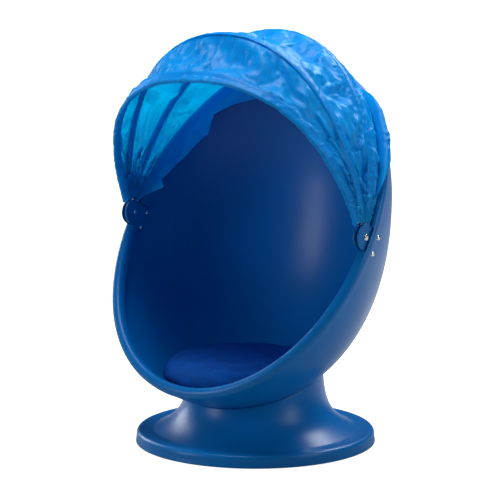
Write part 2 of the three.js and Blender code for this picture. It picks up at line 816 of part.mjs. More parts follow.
// A point of a hoop, across the chair and out from the hinge axis; turn runs from 0 to PI.
function hoopPoint(bow, turn) {
  const across = -Math.sign(Math.cos(turn)) * Math.abs(Math.cos(turn)) ** (2 / bow.power);
  const out = Math.sin(turn) ** (2 / bow.power);
  return [across * bow.half_width, out * bow.reach];
}

// The turn at which a hoop is a given distance from the hinge axis.
function hoopTurn(bow, distance) {
  return Math.asin((distance / bow.reach) ** (bow.power / 2));
}

class Hoop extends THREE.Curve {
  constructor(bow, start) {
    super();
    this.bow = bow;
    this.first = hoopTurn(bow, start);
  }

  getPoint(share, target = new THREE.Vector3()) {
    const [across, out] = hoopPoint(this.bow, this.first + share * (PI - 2 * this.first));
    return target.set(across, out, 0);
  }
}

function bowWire(bow) {
  const section = new THREE.Shape();
  section.absarc(0, 0, bow_wire_radius, 0, 2 * PI);
  const extrudePath = new Hoop(bow, bow_blade_length - bow_blade_width / 2);
  const options = { steps: bow_steps, curveSegments: 3, bevelEnabled: false, extrudePath };
  let body = solidOf(new THREE.ExtrudeGeometry(section, options));
  for (const side of [-1, 1]) {
    const near = bow.half_width - bow_blade_thickness / 2;
    const far = bow.half_width + bow_blade_thickness / 2;
    const blade = new THREE.BoxGeometry(bow_blade_thickness, bow_blade_length, bow_blade_width);
    blade.translate(side * bow.half_width, bow_blade_length / 2, 0);
    body = body.add(solidOf(blade)).add(crossBar(bow_eyelet_radius, near, far, 0, 0, side));
    body = body.subtract(crossBar(rivet_radius + fit_gap, near - cut_over, far + cut_over, 0, 0, side));
  }
  return body;
}

// A thin closed sheet over a grid: place(along, across, face) gives its points, with face -1 or 1.
function closedSheet(steps, rows, place) {
  const positions = [];
  const faces = [];
  const index = (i, j, k) => (k * (steps + 1) + i) * (rows + 1) + j;
  for (const face of [1, -1]) {
    for (let i = 0; i <= steps; i++) {
      for (let j = 0; j <= rows; j++) {
        positions.push(...place(i / steps, j / rows, face));
      }
    }
  }
  const quad = (a, b, c, d) => faces.push(a, b, c, a, c, d);
  for (let i = 0; i < steps; i++) {
    for (let j = 0; j < rows; j++) {
      quad(index(i, j, 0), index(i + 1, j, 0), index(i + 1, j + 1, 0), index(i, j + 1, 0));
      quad(index(i, j, 1), index(i, j + 1, 1), index(i + 1, j + 1, 1), index(i + 1, j, 1));
    }
    quad(index(i, 0, 0), index(i, 0, 1), index(i + 1, 0, 1), index(i + 1, 0, 0));
    quad(index(i, rows, 0), index(i + 1, rows, 0), index(i + 1, rows, 1), index(i, rows, 1));
  }
  for (let j = 0; j < rows; j++) {
    quad(index(0, j, 0), index(0, j + 1, 0), index(0, j + 1, 1), index(0, j, 1));
    quad(index(steps, j, 0), index(steps, j, 1), index(steps, j + 1, 1), index(steps, j + 1, 0));
  }
  const geometry = new THREE.BufferGeometry();
  geometry.setAttribute("position", new THREE.BufferAttribute(new Float32Array(positions), 3));
  geometry.setIndex(faces);
  return geometry;
}

// How far a sheet's edge turns away from a bow's plane to clear the wire at a distance from the hinge.
function wireClearance(distance) {
  return Math.asin((bow_wire_radius + fabric_clearance) / distance);
}

function atHinge(across, out, angle) {
  return [across, hinge_y - out * Math.cos(angle), hinge_z + out * Math.sin(angle)];
}

// The fabric between two bows: it sags a little halfway, and ends short of the hinge discs.
function gore(front, rear) {
  return closedSheet(gore_steps, gore_rows, (along, across, face) => {
    const first = mix(hoopTurn(front, fabric_start), hoopTurn(rear, fabric_start), across);
    const turn = first + along * (PI - 2 * first);
    const [front_x, front_out] = hoopPoint(front, turn);
    const [rear_x, rear_out] = hoopPoint(rear, turn);
    const near = front.angle + wireClearance(front_out);
    const far = rear.angle - wireClearance(rear_out);
    const out = mix(front_out, rear_out, across);
    const fullness = 4 * across * (1 - across) * Math.sin(turn) ** 2;
    const inward = gore_sag * fullness * (out / front.reach) - (face * fabric_thickness) / 2;
    const x = mix(front_x, rear_x, across);
    const span = Math.hypot(x, out);
    const shrink = 1 - inward / span;
    return atHinge(x * shrink, out * shrink, mix(near, far, across));
  });
}

// The loose flap: it lies over the lip from the rear bow, then hangs down into the shell.
function rearFlap(bow) {
  const flat_share = flap_over_lip / (flap_over_lip + flap_drop);
  return closedSheet(gore_steps, flap_rows, (along, across, face) => {
    const first = hoopTurn(bow, fabric_start);
    const turn = first + along * (PI - 2 * first);
    const [x, out] = hoopPoint(bow, turn);
    const width = (flap_over_lip + flap_drop) * Math.sin(turn);
    const shrink = 1 - (bow_wire_radius + flap_clearance + across * width) / Math.hypot(x, out);
    const hang = (Math.max(0, across - flat_share) / (1 - flat_share)) * radians(flap_angle_deg);
    const thick = (face * fabric_thickness) / 2 / (out * shrink);
    return atHinge(x * shrink, out * shrink, bow.angle + hang * Math.sin(turn) + thick);
  });
}

function addHood() {
  bows.forEach((bow, i) => {
    const frame = new THREE.Group();
    frame.position.set(0, hinge_y, hinge_z);
    frame.rotation.x = PI - bow.angle;
    chair.add(frame);
    add(`hood_bow_${i + 1}`, bowWire(bow), "bright_steel", frame);
  });
  for (let i = 0; i < bows.length - 1; i++) {
    add(`hood_gore_${i + 1}`, gore(bows[i], bows[i + 1]), "hood_fabric");
  }
  add("hood_rear_flap", rearFlap(bows[bows.length - 1]), "hood_fabric");
}

addFloorUnit();
addBearing();
addPedestal();
addShell();
addCushion();
addHinges();
addHood();

export default chair;
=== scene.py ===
# A child's egg-shaped swivel chair with a pull-down fabric hood.
import json
import math

import bmesh
import bpy
import numpy as np
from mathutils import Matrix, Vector


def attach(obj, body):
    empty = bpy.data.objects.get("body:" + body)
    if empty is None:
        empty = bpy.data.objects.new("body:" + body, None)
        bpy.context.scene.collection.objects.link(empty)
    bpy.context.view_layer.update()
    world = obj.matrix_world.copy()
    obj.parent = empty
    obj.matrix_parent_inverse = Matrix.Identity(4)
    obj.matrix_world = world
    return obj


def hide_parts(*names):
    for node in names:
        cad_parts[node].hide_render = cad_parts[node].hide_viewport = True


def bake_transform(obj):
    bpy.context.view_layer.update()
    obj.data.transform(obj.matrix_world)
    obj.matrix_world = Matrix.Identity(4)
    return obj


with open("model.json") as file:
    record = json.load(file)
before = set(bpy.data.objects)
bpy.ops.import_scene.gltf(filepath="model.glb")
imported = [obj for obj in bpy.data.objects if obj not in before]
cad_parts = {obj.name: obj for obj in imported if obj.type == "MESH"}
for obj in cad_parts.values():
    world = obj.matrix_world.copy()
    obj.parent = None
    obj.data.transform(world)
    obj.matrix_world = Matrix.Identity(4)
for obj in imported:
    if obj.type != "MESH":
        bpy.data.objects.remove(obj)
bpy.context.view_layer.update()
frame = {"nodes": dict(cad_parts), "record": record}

scene = bpy.context.scene

# Sizes are in metres, in the frame's axes: +Z up, the opening facing -Y.

# Shell: an egg with two half lengths, leaning back, cut by a sloping opening with a rolled lip
EGG_RADIUS = 0.302
EGG_UPPER = 0.373
EGG_LOWER = 0.418
EGG_CENTRE = np.array([0.0, -0.063, 0.500])
EGG_LEAN = math.radians(4.2)
EGG_TAPER = -0.041
EGG_UNDERSIDE = 2.24
EGG_AXIS = np.array([0.0, math.sin(EGG_LEAN), math.cos(EGG_LEAN)])
SHELL_WALL = 0.005
OPENING_SLOPE = math.radians(32.5)
OPENING_NORMAL = np.array([0.0, -math.cos(OPENING_SLOPE), math.sin(OPENING_SLOPE)])
OPENING_UP = np.array([0.0, math.sin(OPENING_SLOPE), math.cos(OPENING_SLOPE)])
LIP_FRONT = -0.0585
LIP_REAR = -0.078
LIP_PROUD = 0.0028
LIP_INSET = 0.019
LIP_STEP = 0.0004
LIP_ROLL = (LIP_PROUD + LIP_INSET) / 2
BOWL_EDGE = math.radians(89.2)
BOWL_POLE = math.radians(1.2)
BOWL_ROWS = 64
LONGEST_RAY = 0.9
HALVINGS = 44

# Pedestal: a trumpet neck on a round flange, hollow from below
FLANGE_RADIUS = 0.2355
FLANGE_TOP = 0.026
FLANGE_SIDE = 0.010
FOOT_RADIUS = 0.2370
FOOT_HEIGHT = 0.002
NECK_RADIUS = 0.1325
NECK_FLARE = 0.070
NECK_FLARE_HEIGHT = 0.030
NECK_EASE = 1.35
HIGHEST_NECK = 0.2
PEDESTAL_WALL = 0.004
PEDESTAL_GAP = 0.0009
PEDESTAL_EDGE = 0.0012
EDGE_DROP = 0.002
HOLLOW_IN = 0.012
HOLLOW_DOWN = 0.014

# Hinges on the hood's axis. The ranges are along X, and a profile is (radius, place along X).
SIDES = (("left", -1), ("right", 1))
HINGE = np.array([0.0, -0.041, 0.436])
DISC_RADIUS = 0.025
BRACKET_X = (0.2812, 0.2861)
NOTCH_X = (0.2752, 0.2984)
POCKET_X = (0.2752, 0.2864)
HINGE_ROOM = 0.001
BRACKET_PAD = 0.008
BRACKET_ROUND = 0.0017
FOOT_RADII = (0.0062, 0.0056)
FOOT_SINK = 0.0003
SCREWS = [(-0.004, 0.431), (-0.023, 0.403)]
SCREW_SHANK = 0.0023
SCREW_PAST_WALL = -0.002
AXIS = 0.0002
DISC = [(AXIS, 0.2915), (DISC_RADIUS, 0.2915), (DISC_RADIUS, 0.2945), (AXIS, 0.2945)]
RIVET = [(AXIS, 0.27785), (0.0026, 0.2780), (0.0039, 0.2791), (0.0042, 0.2809), (0.0029, 0.2811),
         (0.0029, 0.2946), (0.0064, 0.2948), (0.0066, 0.2956), (0.0056, 0.2970), (0.0034, 0.2976),
         (AXIS, 0.2978)]
SCREW_HEAD = [(AXIS, -0.0033), (0.0030, -0.0028), (0.0043, -0.0012), (0.0044, 0), (SCREW_SHANK, 0)]
CAP_NUT = [(0.0050, -0.0015), (0.0050, 0.0006), (0.0040, 0.0028), (0.0022, 0.0038), (AXIS, 0.0040)]

# Cushion: a round pad in the bowl, puffed by a short cloth simulation
CUSHION_Y = -0.040
CUSHION_RADIUS = 0.1565
CUSHION_TOP = 0.1765
CUSHION_CROWN = 0.003
CUSHION_EDGE = 0.13
CUSHION_ROUND = 0.028
CUSHION_TURN = math.radians(118)
CUSHION_FLAT = 0.6
CUSHION_REST = -0.0053
UNDERSIDE_RINGS = (0.9, 0.75, 0.55, 0.35, 0.15, 0.01)
BOWL_FLOOR = (0.05, 0.5)
PUFF_VOXEL = 0.0055
PUFF_FRAMES = 14
PUFF_LIMIT = 0.0035

# Bows: angle over the front horizon, reach, squareness and half width at the hinge, front to rear
BOW_ANGLE = [math.radians(a) for a in (63.5, 82, 107, 122.5)]
BOW_REACH = [0.322, 0.370, 0.384, 0.379]
BOW_POWER = [2.4, 2.14, 2.03, 1.85]
BOW_HALF = [0.28685, 0.28815, 0.28945, 0.29075]
BOW_NODES = ["hood_bow_1", "hood_bow_2", "hood_bow_3", "hood_bow_4"]
WIRE = 0.0016
WIRE_START = 0.0252
EYE_RADIUS = 0.007
EYE_HOLE = 0.0031
BORE_REACH = 0.002
BLADE_HALF = 0.0005
BLADE_TAIL = [(0.0021, 0.014), (0.0019, 0.026), (-0.0019, 0.026), (-0.0021, 0.014)]

# Hood cloth: its grid, thickness and slack, where it is sewn to the bows, and the cuff at each end
ALONG = 330
STRIP_ROWS = 3
GORE_ROWS = [13, 17, 11]
FLAP_ROWS = 26
CLOTH = 0.0006
SHEET_LIFT = WIRE + 0.0008
STRIP = 0.010
CLOTH_START = [0.034, 0.0265]
START_ANGLE = math.radians(7)
NEAR_AXIS = 0.02
SLACK = [0.013, 0.011, 0.007]
CUFF = 0.078
CUFF_DEPTH = 0.0048
CUFF_STEP = 0.0015
CUFF_OVERLAP = 0.001

# Loose flap: (share along the bow, depth) of its edge, how it hangs, and (size, shift, height) of its facets
FLAP_EDGE = [(0.0, 0.004), (0.050, 0.053), (0.062, 0.034), (0.10, 0.046), (0.13, 0.050), (0.17, 0.051),
             (0.207, 0.058), (0.237, 0.035), (0.285, 0.042), (0.36, 0.058), (0.50, 0.085), (0.62, 0.085),
             (0.75, 0.066), (0.88, 0.040), (0.935, 0.030), (0.950, 0.053), (1.0, 0.004)]
FLAP_LIFT = 0.0005
FLAP_OVER_LIP = 0.022
FLAP_INSIDE = 0.063
FLAP_HANG = math.radians(11)
FLAP_WAVE = math.radians(1.5)
FLAP_SETTLE = math.radians(0.25)
FLAP_FACETS = [(0.034, 7, 0.0060), (0.015, 21, 0.0014)]

# Pleats of cloth pulled out over the lip: the shares of the last bow where they widen, narrow and end
FOLD_WIDEN = (0.70, 0.80)
FOLD_NARROW = (0.82, 0.92)
FOLD_END = (0.88, 0.965)
FOLD_DEPTH = 0.024
FOLD_CORNER = 0.004
FOLD_LIE = 0.003
FOLD_LIFT = SHEET_LIFT + 0.0004
FOLD_PLEAT = 0.0024

# Folds: (spacing, height) of each kind, how far they fade out from the hinges and how fast they vary
GATHERS = np.array([3.2, 3.6, 2.4])
GATHER = (0.15, 0.0075)
SWELL = (0.060, 0.006)
CROSS = (0.036, 0.003)
TUCK = (0.0105, 0.0022)
TUCK_REACH = 0.012
TUCK_SLANT = 0.05
TUCK_PATCH = 0.09
GATHER_WANDER = 0.10
FINE = (0.017, 0.0002)
FINER = (0.0085, 0.0001)
HINGE_FADE = 0.03
CREASE_FADE = 0.07
SWELL_FADE = 0.10
CREASES = [(0.0, 0.058, 0.0042), (0.55, 0.074, 0.0046), (-0.50, 0.064, 0.0042), (1.25, 0.090, 0.0030),
           (0.28, 0.034, 0.0017), (-0.22, 0.027, 0.0012)]
CREASE_PATCH = (0.14, 0.16)
CREASE_BEND = 0.22
DRAPE_FRAMES = 26
DRAPE_HELD = 0.018
DRAPE_LIMITS = (-0.012, 0.0015)
DRAPE_SLIDE = 0.009

# Sewn bands along the bows, with (spacing, height) of their ruffles and pleats, and their thread
HEM_BEHIND = 0.012
HEM_LENGTH = 0.94
HEM_NOSE = 0.0095
HEM_ROLL = 0.0042
HEM_GROOVE = (-0.0040, 0.0014, 0.0009)
HEM_DROOP = (0.0015, 0.0020)
HEM_DROOP_SHARE = (0.33, 0.17)
HEM_LEAN = 0.0040
HEM_LEAN_SHARE = (0.72, 0.14)
HEM_LEAN_REACH = 0.05
HEM_RUFFLE = (0.0080, 0.0007)
HEM_PLEAT = (0.0210, 0.0010)
HEM_PUFF = 0.035
HEM_RISE = 0.0008
HEM_OUTSIDE = (0.0012, 0.0011, 0.0009)
HEM_INSIDE = (0.0022, 0.0012, 0.0009)
HEM_PUCKER = 0.0007
HEM_SEAM_LIFT = 0.0017
BAND_GROWTH = 0.10
BAND_RIPPLE = 0.0068
BAND_SWELL = 0.022
CHANNEL_HALF = [0, 0.0092, 0.0058, 0.0062]
CHANNEL_DEPTH = 0.0046
CHANNEL_TAIL = 0.011
CHANNEL_PUCKER = 0.0003
CHANNEL_TUCK = 0.0022
CHANNEL_RUFFLE = (0.009, 0.0006)
TAIL_FRONT = 0.0008
TAIL_LEAN = 0.0030
TAPE_HALF = 0.0088
TAPE_START = 0.01
TAPE_PUCKER = 0.0005
TAPE_RUFFLE = (0.0075, 0.0007)
TAPE_CROWN = 0.0013
TAPE_LIFT = 0.0005
INSIDE = SHEET_LIFT - 0.0009
STITCH_PITCH = 0.0042
STITCH_RADIUS = 0.00038
STITCH_SINK = 0.0003
STITCH_SIDES = 5

# Camera: the photograph's view, worked out from the chair's outline
VIEW_TURN = math.radians(38.96)
VIEW_RISE = math.radians(8.56)
VIEW_DISTANCE = 3.8962
VIEW_RIGHT = -0.0108
VIEW_HEIGHT = 0.3799
VIEW_LENS = 143.26
SENSOR = 36

# Stage: glows of the floor and room, and each light's place, width, height and power
FLOOR_SIZE = 60.0
FLOOR_TURN = -0.35
FLOOR_BACK = (0.25, 0.8)
FLOOR_SWEEP = 0.39
FLOOR_SEEN = 0.96
WORLD_ROOM = 0.02
LIT_POINT = Vector((0, 0, 0.42))
LIGHTS = {
    "front_left": ((-1.30, -2.40, 0.80), 0.75, 1.15, 19),
    "top": ((-0.2, -0.2, 2.6), 1.5, 1.0, 52),
    "left": ((-2.4, 0.2, 1.0), 0.9, 1.4, 26),
    "right": ((2.4, 0.3, 1.3), 0.9, 1.4, 17),
    "rear_top": ((0, 1.9, 2.4), 1.5, 1.0, 62),
}


# Mesh helpers

def unit(vectors):
    return vectors / np.maximum(np.linalg.norm(vectors, axis=-1, keepdims=True), 1e-12)


def run_lengths(grid, axis=0):
    """Length from the start of each line of points along one axis of a grid."""
    step = np.linalg.norm(np.diff(grid, axis=axis), axis=-1)
    return np.concatenate([np.zeros_like(np.take(step, [0], axis)), np.cumsum(step, axis=axis)], axis=axis)


def piece_of(name, verts, faces, material, smooth=True):
    mesh = bpy.data.meshes.new(name)
    mesh.from_pydata([tuple(v) for v in verts], [], faces)
    mesh.validate()
    mesh.update()
    obj = bpy.data.objects.new(name, mesh)
    scene.collection.objects.link(obj)
    mesh.materials.append(material)
    if smooth:
        mesh.shade_smooth()
    else:
        mesh.shade_flat()
    return obj


def grid_faces(rows, along):
    i, j = np.meshgrid(np.arange(rows - 1), np.arange(along - 1), indexing="ij")
    corner = (i * along + j).ravel()
    return np.stack([corner, corner + along, corner + along + 1, corner + 1], axis=1)


def ring_piece(name, grid, material, cap_ends=True):
    """A surface that closes round its first axis; grid is (around, along, 3)."""
    around, along = grid.shape[:2]
    faces = (grid_faces(around + 1, along) % (around * along)).tolist()
    if cap_ends:
        faces.append([i * along for i in reversed(range(around))])
        faces.append([i * along + along - 1 for i in range(around)])
    return piece_of(name, grid.reshape(-1, 3), faces, material)


def lathe(name, profile, side, material, segments, centre=HINGE):
    """A piece turned on an axis along X."""
    grid = np.zeros((segments, len(profile), 3))
    for i in range(segments):
        turn = 2 * math.pi * i / segments
        for j, (r, x) in enumerate(profile):
            grid[i, j] = (side * x, side * r * math.cos(turn), r * math.sin(turn))
    return ring_piece(name, grid + np.array(centre), material)


def plate(name, near, far, outline, side, material, smooth=True):
    """A flat plate between two places along X, with an outline of (y, z) points."""
    count = len(outline)
    verts = [(side * x, y, z) for x in (near, far) for y, z in outline]
    faces = [list(range(count)), list(reversed(range(count, 2 * count)))]
    faces += [(i, i + count, (i + 1) % count + count, (i + 1) % count) for i in range(count)]
    obj = piece_of(name, verts, faces, material, smooth)
    face_outwards(obj)
    return obj


def face_outwards(obj, merge=0.0):
    """Turns the faces outwards, once points closer than merge are one."""
    bm = bmesh.new()
    bm.from_mesh(obj.data)
    if merge:
        bmesh.ops.remove_doubles(bm, verts=bm.verts, dist=merge)
    bmesh.ops.recalc_face_normals(bm, faces=bm.faces)
    bm.to_mesh(obj.data)
    bm.free()


def sharpen(obj, degrees):
    """Smooth shading, apart from edges past an angle."""
    obj.data.shade_smooth()
    obj.data.set_sharp_from_angle(angle=math.radians(degrees))


def bent(points, radius_share, cuts):
    """Rounds each inner corner of a profile by a share of its shorter side."""
    out = [points[0]]
    for a, b, c in zip(points, points[1:], points[2:]):
        a, b, c = np.array(a), np.array(b), np.array(c)
        reach = radius_share * min(np.linalg.norm(a - b), np.linalg.norm(c - b))
        start, end = b + unit(a - b) * reach, b + unit(c - b) * reach
        for t in np.arange(cuts + 1) / cuts:
            out.append(tuple((1 - t) ** 2 * start + 2 * t * (1 - t) * b + t * t * end))
    out.append(points[-1])
    return out


def apply_modifiers(obj):
    bpy.context.view_layer.update()
    graph = bpy.context.evaluated_depsgraph_get()
    mesh = bpy.data.meshes.new_from_object(obj.evaluated_get(graph))
    obj.modifiers.clear()
    obj.data = mesh


def boolean_cut(obj, cutters):
    for cutter in cutters:
        modifier = obj.modifiers.new("cut", "BOOLEAN")
        modifier.operation = "DIFFERENCE"
        modifier.solver = "EXACT"
        modifier.object = cutter
    apply_modifiers(obj)
    for cutter in cutters:
        bpy.data.objects.remove(cutter)


def simulate_cloth(obj, frames, gravity, settings):
    """Runs a cloth simulation on the piece and keeps its last frame; gives its points before and after."""
    before = points_of(obj)
    cloth = obj.modifiers.new("cloth", "CLOTH")
    for key, value in settings.items():
        setattr(cloth.settings, key, value)
    cloth.settings.effector_weights.gravity = gravity
    cloth.collision_settings.use_collision = False
    cloth.point_cache.frame_start = 1
    cloth.point_cache.frame_end = frames
    for step in range(1, frames + 1):
        scene.frame_set(step)
    apply_modifiers(obj)
    scene.frame_set(1)
    return before, points_of(obj)


def points_of(obj):
    flat = np.zeros(3 * len(obj.data.vertices), np.float32)
    obj.data.vertices.foreach_get("co", flat)
    return flat.reshape(-1, 3).astype(float)


def settle(obj, body, slot, *nodes):
    """The piece rides a body and stands for the nodes named; slot is not used."""
    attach(obj, body)
    if nodes:
        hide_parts(*nodes)


# Noise: a smooth value from -1 to 1 over space, from one seeded table

NOISE_CELLS = 64
NOISE_TABLE = np.random.default_rng(7).random((NOISE_CELLS, NOISE_CELLS, NOISE_CELLS)) * 2 - 1


def noise_in(points):
    """Noise at points (..., 3), with features about one unit across."""
    cell = np.floor(points).astype(int)
    f = points - cell
    f = f * f * (3 - 2 * f)
    total = 0
    for corner in np.ndindex(2, 2, 2):
        value = NOISE_TABLE[tuple((cell[..., a] + corner[a]) % NOISE_CELLS for a in range(3))]
        for a in range(3):
            value = value * (f[..., a] if corner[a] else 1 - f[..., a])
        total = total + value
    return total


def noise(*axes):
    return noise_in(np.stack(np.broadcast_arrays(*axes), axis=-1).astype(float))


def ridged(value):
    return 1 - np.abs(value) * 2


def noise_line(length, scale, seed):
    return float(noise(length / scale, seed * 1.7, seed * 3.1))


def smooth_step(value, low, high):
    t = np.clip((value - low) / (high - low), 0, 1)
    return t * t * (3 - 2 * t)


# The egg

def egg_field(points, offset):
    """How far points are outside the egg, grown by an offset, square to its axis."""
    d = points - EGG_CENTRE
    height = d @ EGG_AXIS
    half = np.where(height < 0, EGG_LOWER, EGG_UPPER) + offset
    share = np.clip(height / half, -1, 1)
    power = np.where(share < 0, EGG_UNDERSIDE, 2.0)
    round_share = np.sqrt(np.maximum(0, 1 - np.abs(share) ** power))
    radius = (EGG_RADIUS + offset) * round_share * (1 + EGG_TAPER * share)
    return np.linalg.norm(d - height[..., None] * EGG_AXIS, axis=-1) - radius


def turning_point(is_past, low, high, shape=()):
    """Where a test turns true between two values, found by halving at each place of a shape."""
    low, high = np.full(shape, low), np.full(shape, high)
    for _ in range(HALVINGS):
        middle = (low + high) / 2
        past = is_past(middle)
        low = np.where(past, low, middle)
        high = np.where(past, middle, high)
    return low


def egg_hit(origin, direction, offset):
    """Where rays from inside the egg leave it, grown by an offset."""
    def outside(t):
        return egg_field(origin + direction * t[..., None], offset) > 0
    reach = turning_point(outside, 0.0, LONGEST_RAY, direction.shape[:-1])
    return origin + direction * reach[..., None]


def radial(turns):
    return np.cos(turns)[..., None] * np.array([1.0, 0, 0]) + np.sin(turns)[..., None] * OPENING_UP


def lip_point(turns, height, offset):
    return egg_hit(EGG_CENTRE + OPENING_NORMAL * height, radial(turns), offset)


def bowl_rows(turns, start, end, offset):
    """Rows of points over the bowl behind the lip, from one polar angle to another."""
    rows = []
    for angle in np.linspace(start, end, BOWL_ROWS):
        direction = radial(turns) * math.cos(angle) - OPENING_NORMAL * math.sin(angle)
        rows.append(egg_hit(EGG_CENTRE + OPENING_NORMAL * LIP_REAR, direction, offset))
    return rows


def lip_section():
    """Height and offset round the lip: a step off the shell, a rolled front, then in to the bowl's wall."""
    corner = LIP_FRONT - LIP_ROLL
    points = bent([(LIP_REAR, LIP_STEP), (LIP_REAR, LIP_PROUD), (corner, LIP_PROUD)], 0.35, 3)[:-1]
    for turn in np.linspace(0, math.pi, 21):
        points.append((corner + LIP_ROLL * math.sin(turn), LIP_PROUD - LIP_ROLL * (1 - math.cos(turn))))
    return points + bent([(corner, -LIP_INSET), (LIP_REAR, -LIP_INSET), (LIP_REAR, -SHELL_WALL)], 0.35, 3)[1:]


def make_shell(material):
    turns = np.linspace(0, 2 * math.pi, 240, endpoint=False)
    rows = bowl_rows(turns, BOWL_EDGE, BOWL_POLE, 0.0)
    rows += [lip_point(turns, height, offset) for height, offset in lip_section()]
    rows += bowl_rows(turns, BOWL_POLE, BOWL_EDGE, -SHELL_WALL)
    shell = ring_piece("shell", np.stack(rows, axis=1), material)
    cutters = []
    for _, side in SIDES:
        notch = [(DISC_RADIUS + HINGE_ROOM, x) for x in NOTCH_X]
        cutters.append(lathe("notch", notch, side, blank, 64))
        cutters.append(plate("pocket", *POCKET_X, bracket_outline(HINGE_ROOM), side, blank))
    boolean_cut(shell, cutters)
    sharpen(shell, 35)
    settle(shell, "seat_unit", "shell_blue", "egg_shell")


# Pedestal: turned on Z, with a top edge that follows the egg

def neck_radius(rise):
    return NECK_RADIUS + NECK_FLARE * np.exp(-rise / NECK_FLARE_HEIGHT)


def make_pedestal(material):
    around = 200
    turns = np.linspace(0, 2 * math.pi, around, endpoint=False)

    def ring(radius, height):
        return np.stack([radius * np.cos(turns), radius * np.sin(turns), height + 0 * turns], axis=1)

    def in_egg(rise):
        return egg_field(ring(neck_radius(rise), FLANGE_TOP + rise), PEDESTAL_GAP) < 0

    top = turning_point(in_egg, 0.0, HIGHEST_NECK, around)
    flange = bent([(FOOT_RADIUS, FOOT_HEIGHT), (FLANGE_RADIUS, FLANGE_SIDE), (FLANGE_RADIUS, FLANGE_TOP),
                   (neck_radius(0.0), FLANGE_TOP)], 0.62, 8)
    rows = [ring(r, h) for r, h in flange[:-1]]
    for share in np.linspace(0, 1, 44):
        rise = top * share ** NECK_EASE
        rows.append(ring(neck_radius(rise), FLANGE_TOP + rise))
    shrink = 1 - PEDESTAL_EDGE / NECK_RADIUS
    rows.append(rows[-1] * np.array([shrink, shrink, 1]) + np.array([0, 0, PEDESTAL_EDGE / 2]))
    under = FLANGE_TOP - PEDESTAL_WALL
    for share in np.linspace(1, 0, 24):
        rise = top * share ** NECK_EASE
        rows.append(ring(neck_radius(rise) - PEDESTAL_WALL, under + rise - EDGE_DROP * share))
    rows.append(ring(FLANGE_RADIUS - HOLLOW_IN, under))
    rows.append(ring(FLANGE_RADIUS - PEDESTAL_WALL, FLANGE_TOP - HOLLOW_DOWN))
    rows.append(ring(FOOT_RADIUS - PEDESTAL_WALL, FOOT_HEIGHT))
    pedestal = ring_piece("pedestal_cover", np.stack(rows + rows[:1], axis=1), material, cap_ends=False)
    face_outwards(pedestal, merge=1e-6)
    settle(pedestal, "seat_unit", "shell_blue", "pedestal")


# Materials: node trees over object coordinates in metres

def feed(tree, socket, value):
    if isinstance(value, bpy.types.NodeSocket):
        tree.links.new(value, socket)
    else:
        socket.default_value = value


def set_inputs(tree, node, **inputs):
    """Sets or links inputs by name, with _ for each space; a value can be another node's output."""
    for key, value in inputs.items():
        feed(tree, node.inputs[key.replace("_", " ")], value)


def add_node(tree, kind, **inputs):
    node = tree.nodes.new("ShaderNode" + kind)
    set_inputs(tree, node, **inputs)
    return node


def new_material(name, color, roughness, **inputs):
    """A material, its tree, its shader and the object coordinates for its textures."""
    material = bpy.data.materials.new(name)
    material.use_nodes = True
    tree = material.node_tree
    shader = tree.nodes["Principled BSDF"]
    set_inputs(tree, shader, Base_Color=(*color, 1), Roughness=roughness, **inputs)
    return material, tree, shader, add_node(tree, "TexCoord").outputs["Object"]


def noise_node(tree, place, scale, detail, roughness=0.5, distortion=0.0):
    return add_node(tree, "TexNoise", Vector=place, Scale=scale, Detail=detail, Roughness=roughness,
                    Distortion=distortion).outputs["Fac"]


def wave_node(tree, place, scale, direction):
    node = add_node(tree, "TexWave", Vector=place, Scale=scale, Distortion=0.6)
    node.bands_direction = direction
    return node.outputs["Fac"]


def math_node(tree, operation, *values):
    node = tree.nodes.new("ShaderNodeMath")
    node.operation = operation
    for socket, value in zip(node.inputs, values):
        feed(tree, socket, value)
    return node.outputs["Value"]


def ramp_node(tree, value, places, colors):
    """Runs from one colour to another while the value runs between two places."""
    node = add_node(tree, "ValToRGB", Fac=value)
    for element, place, color in zip(node.color_ramp.elements, places, colors):
        element.position = place
        element.color = (*color, 1)
    return node.outputs["Color"]


def bump_node(tree, height, strength, depth, **normal):
    """Relief of a depth in metres, on top of another node's normal if one is given."""
    node = add_node(tree, "Bump", Height=height, Strength=strength, Distance=depth, **normal)
    return node.outputs["Normal"]


def mottle(tree, place, color, texture, dark, light, lift=0.0):
    """The colour, uneven between a darker and a lighter share of itself."""
    colors = ([c * dark for c in color], [min(1, c * light + lift) for c in color])
    return ramp_node(tree, noise_node(tree, place, *texture), (0.3, 0.7), colors)


def haze(tree, value, roughness, low, high, places):
    """The roughness, uneven between a lower and a higher share of itself."""
    return ramp_node(tree, value, places, [(roughness * share,) * 3 for share in (low, high)])


def plastic(name, color, roughness):
    material, tree, shader, place = new_material(name, color, roughness, Specular_IOR_Level=0.22)
    set_inputs(tree, shader, Base_Color=mottle(tree, place, color, (6, 3), 0.95, 1.06),
               Roughness=haze(tree, noise_node(tree, place, 30, 4), roughness, 0.93, 1.08, (0.3, 0.7)),
               Normal=bump_node(tree, noise_node(tree, place, 900, 3), 0.12, depth=0.0004))
    return material


def metal(name, color, roughness):
    material, tree, shader, place = new_material(name, color, roughness, Metallic=1.0)
    brushed = noise_node(tree, place, 240, 5)
    set_inputs(tree, shader, Roughness=haze(tree, brushed, roughness, 0.8, 1.35, (0.3, 0.75)),
               Normal=bump_node(tree, brushed, 0.1, depth=0.0003))
    return material


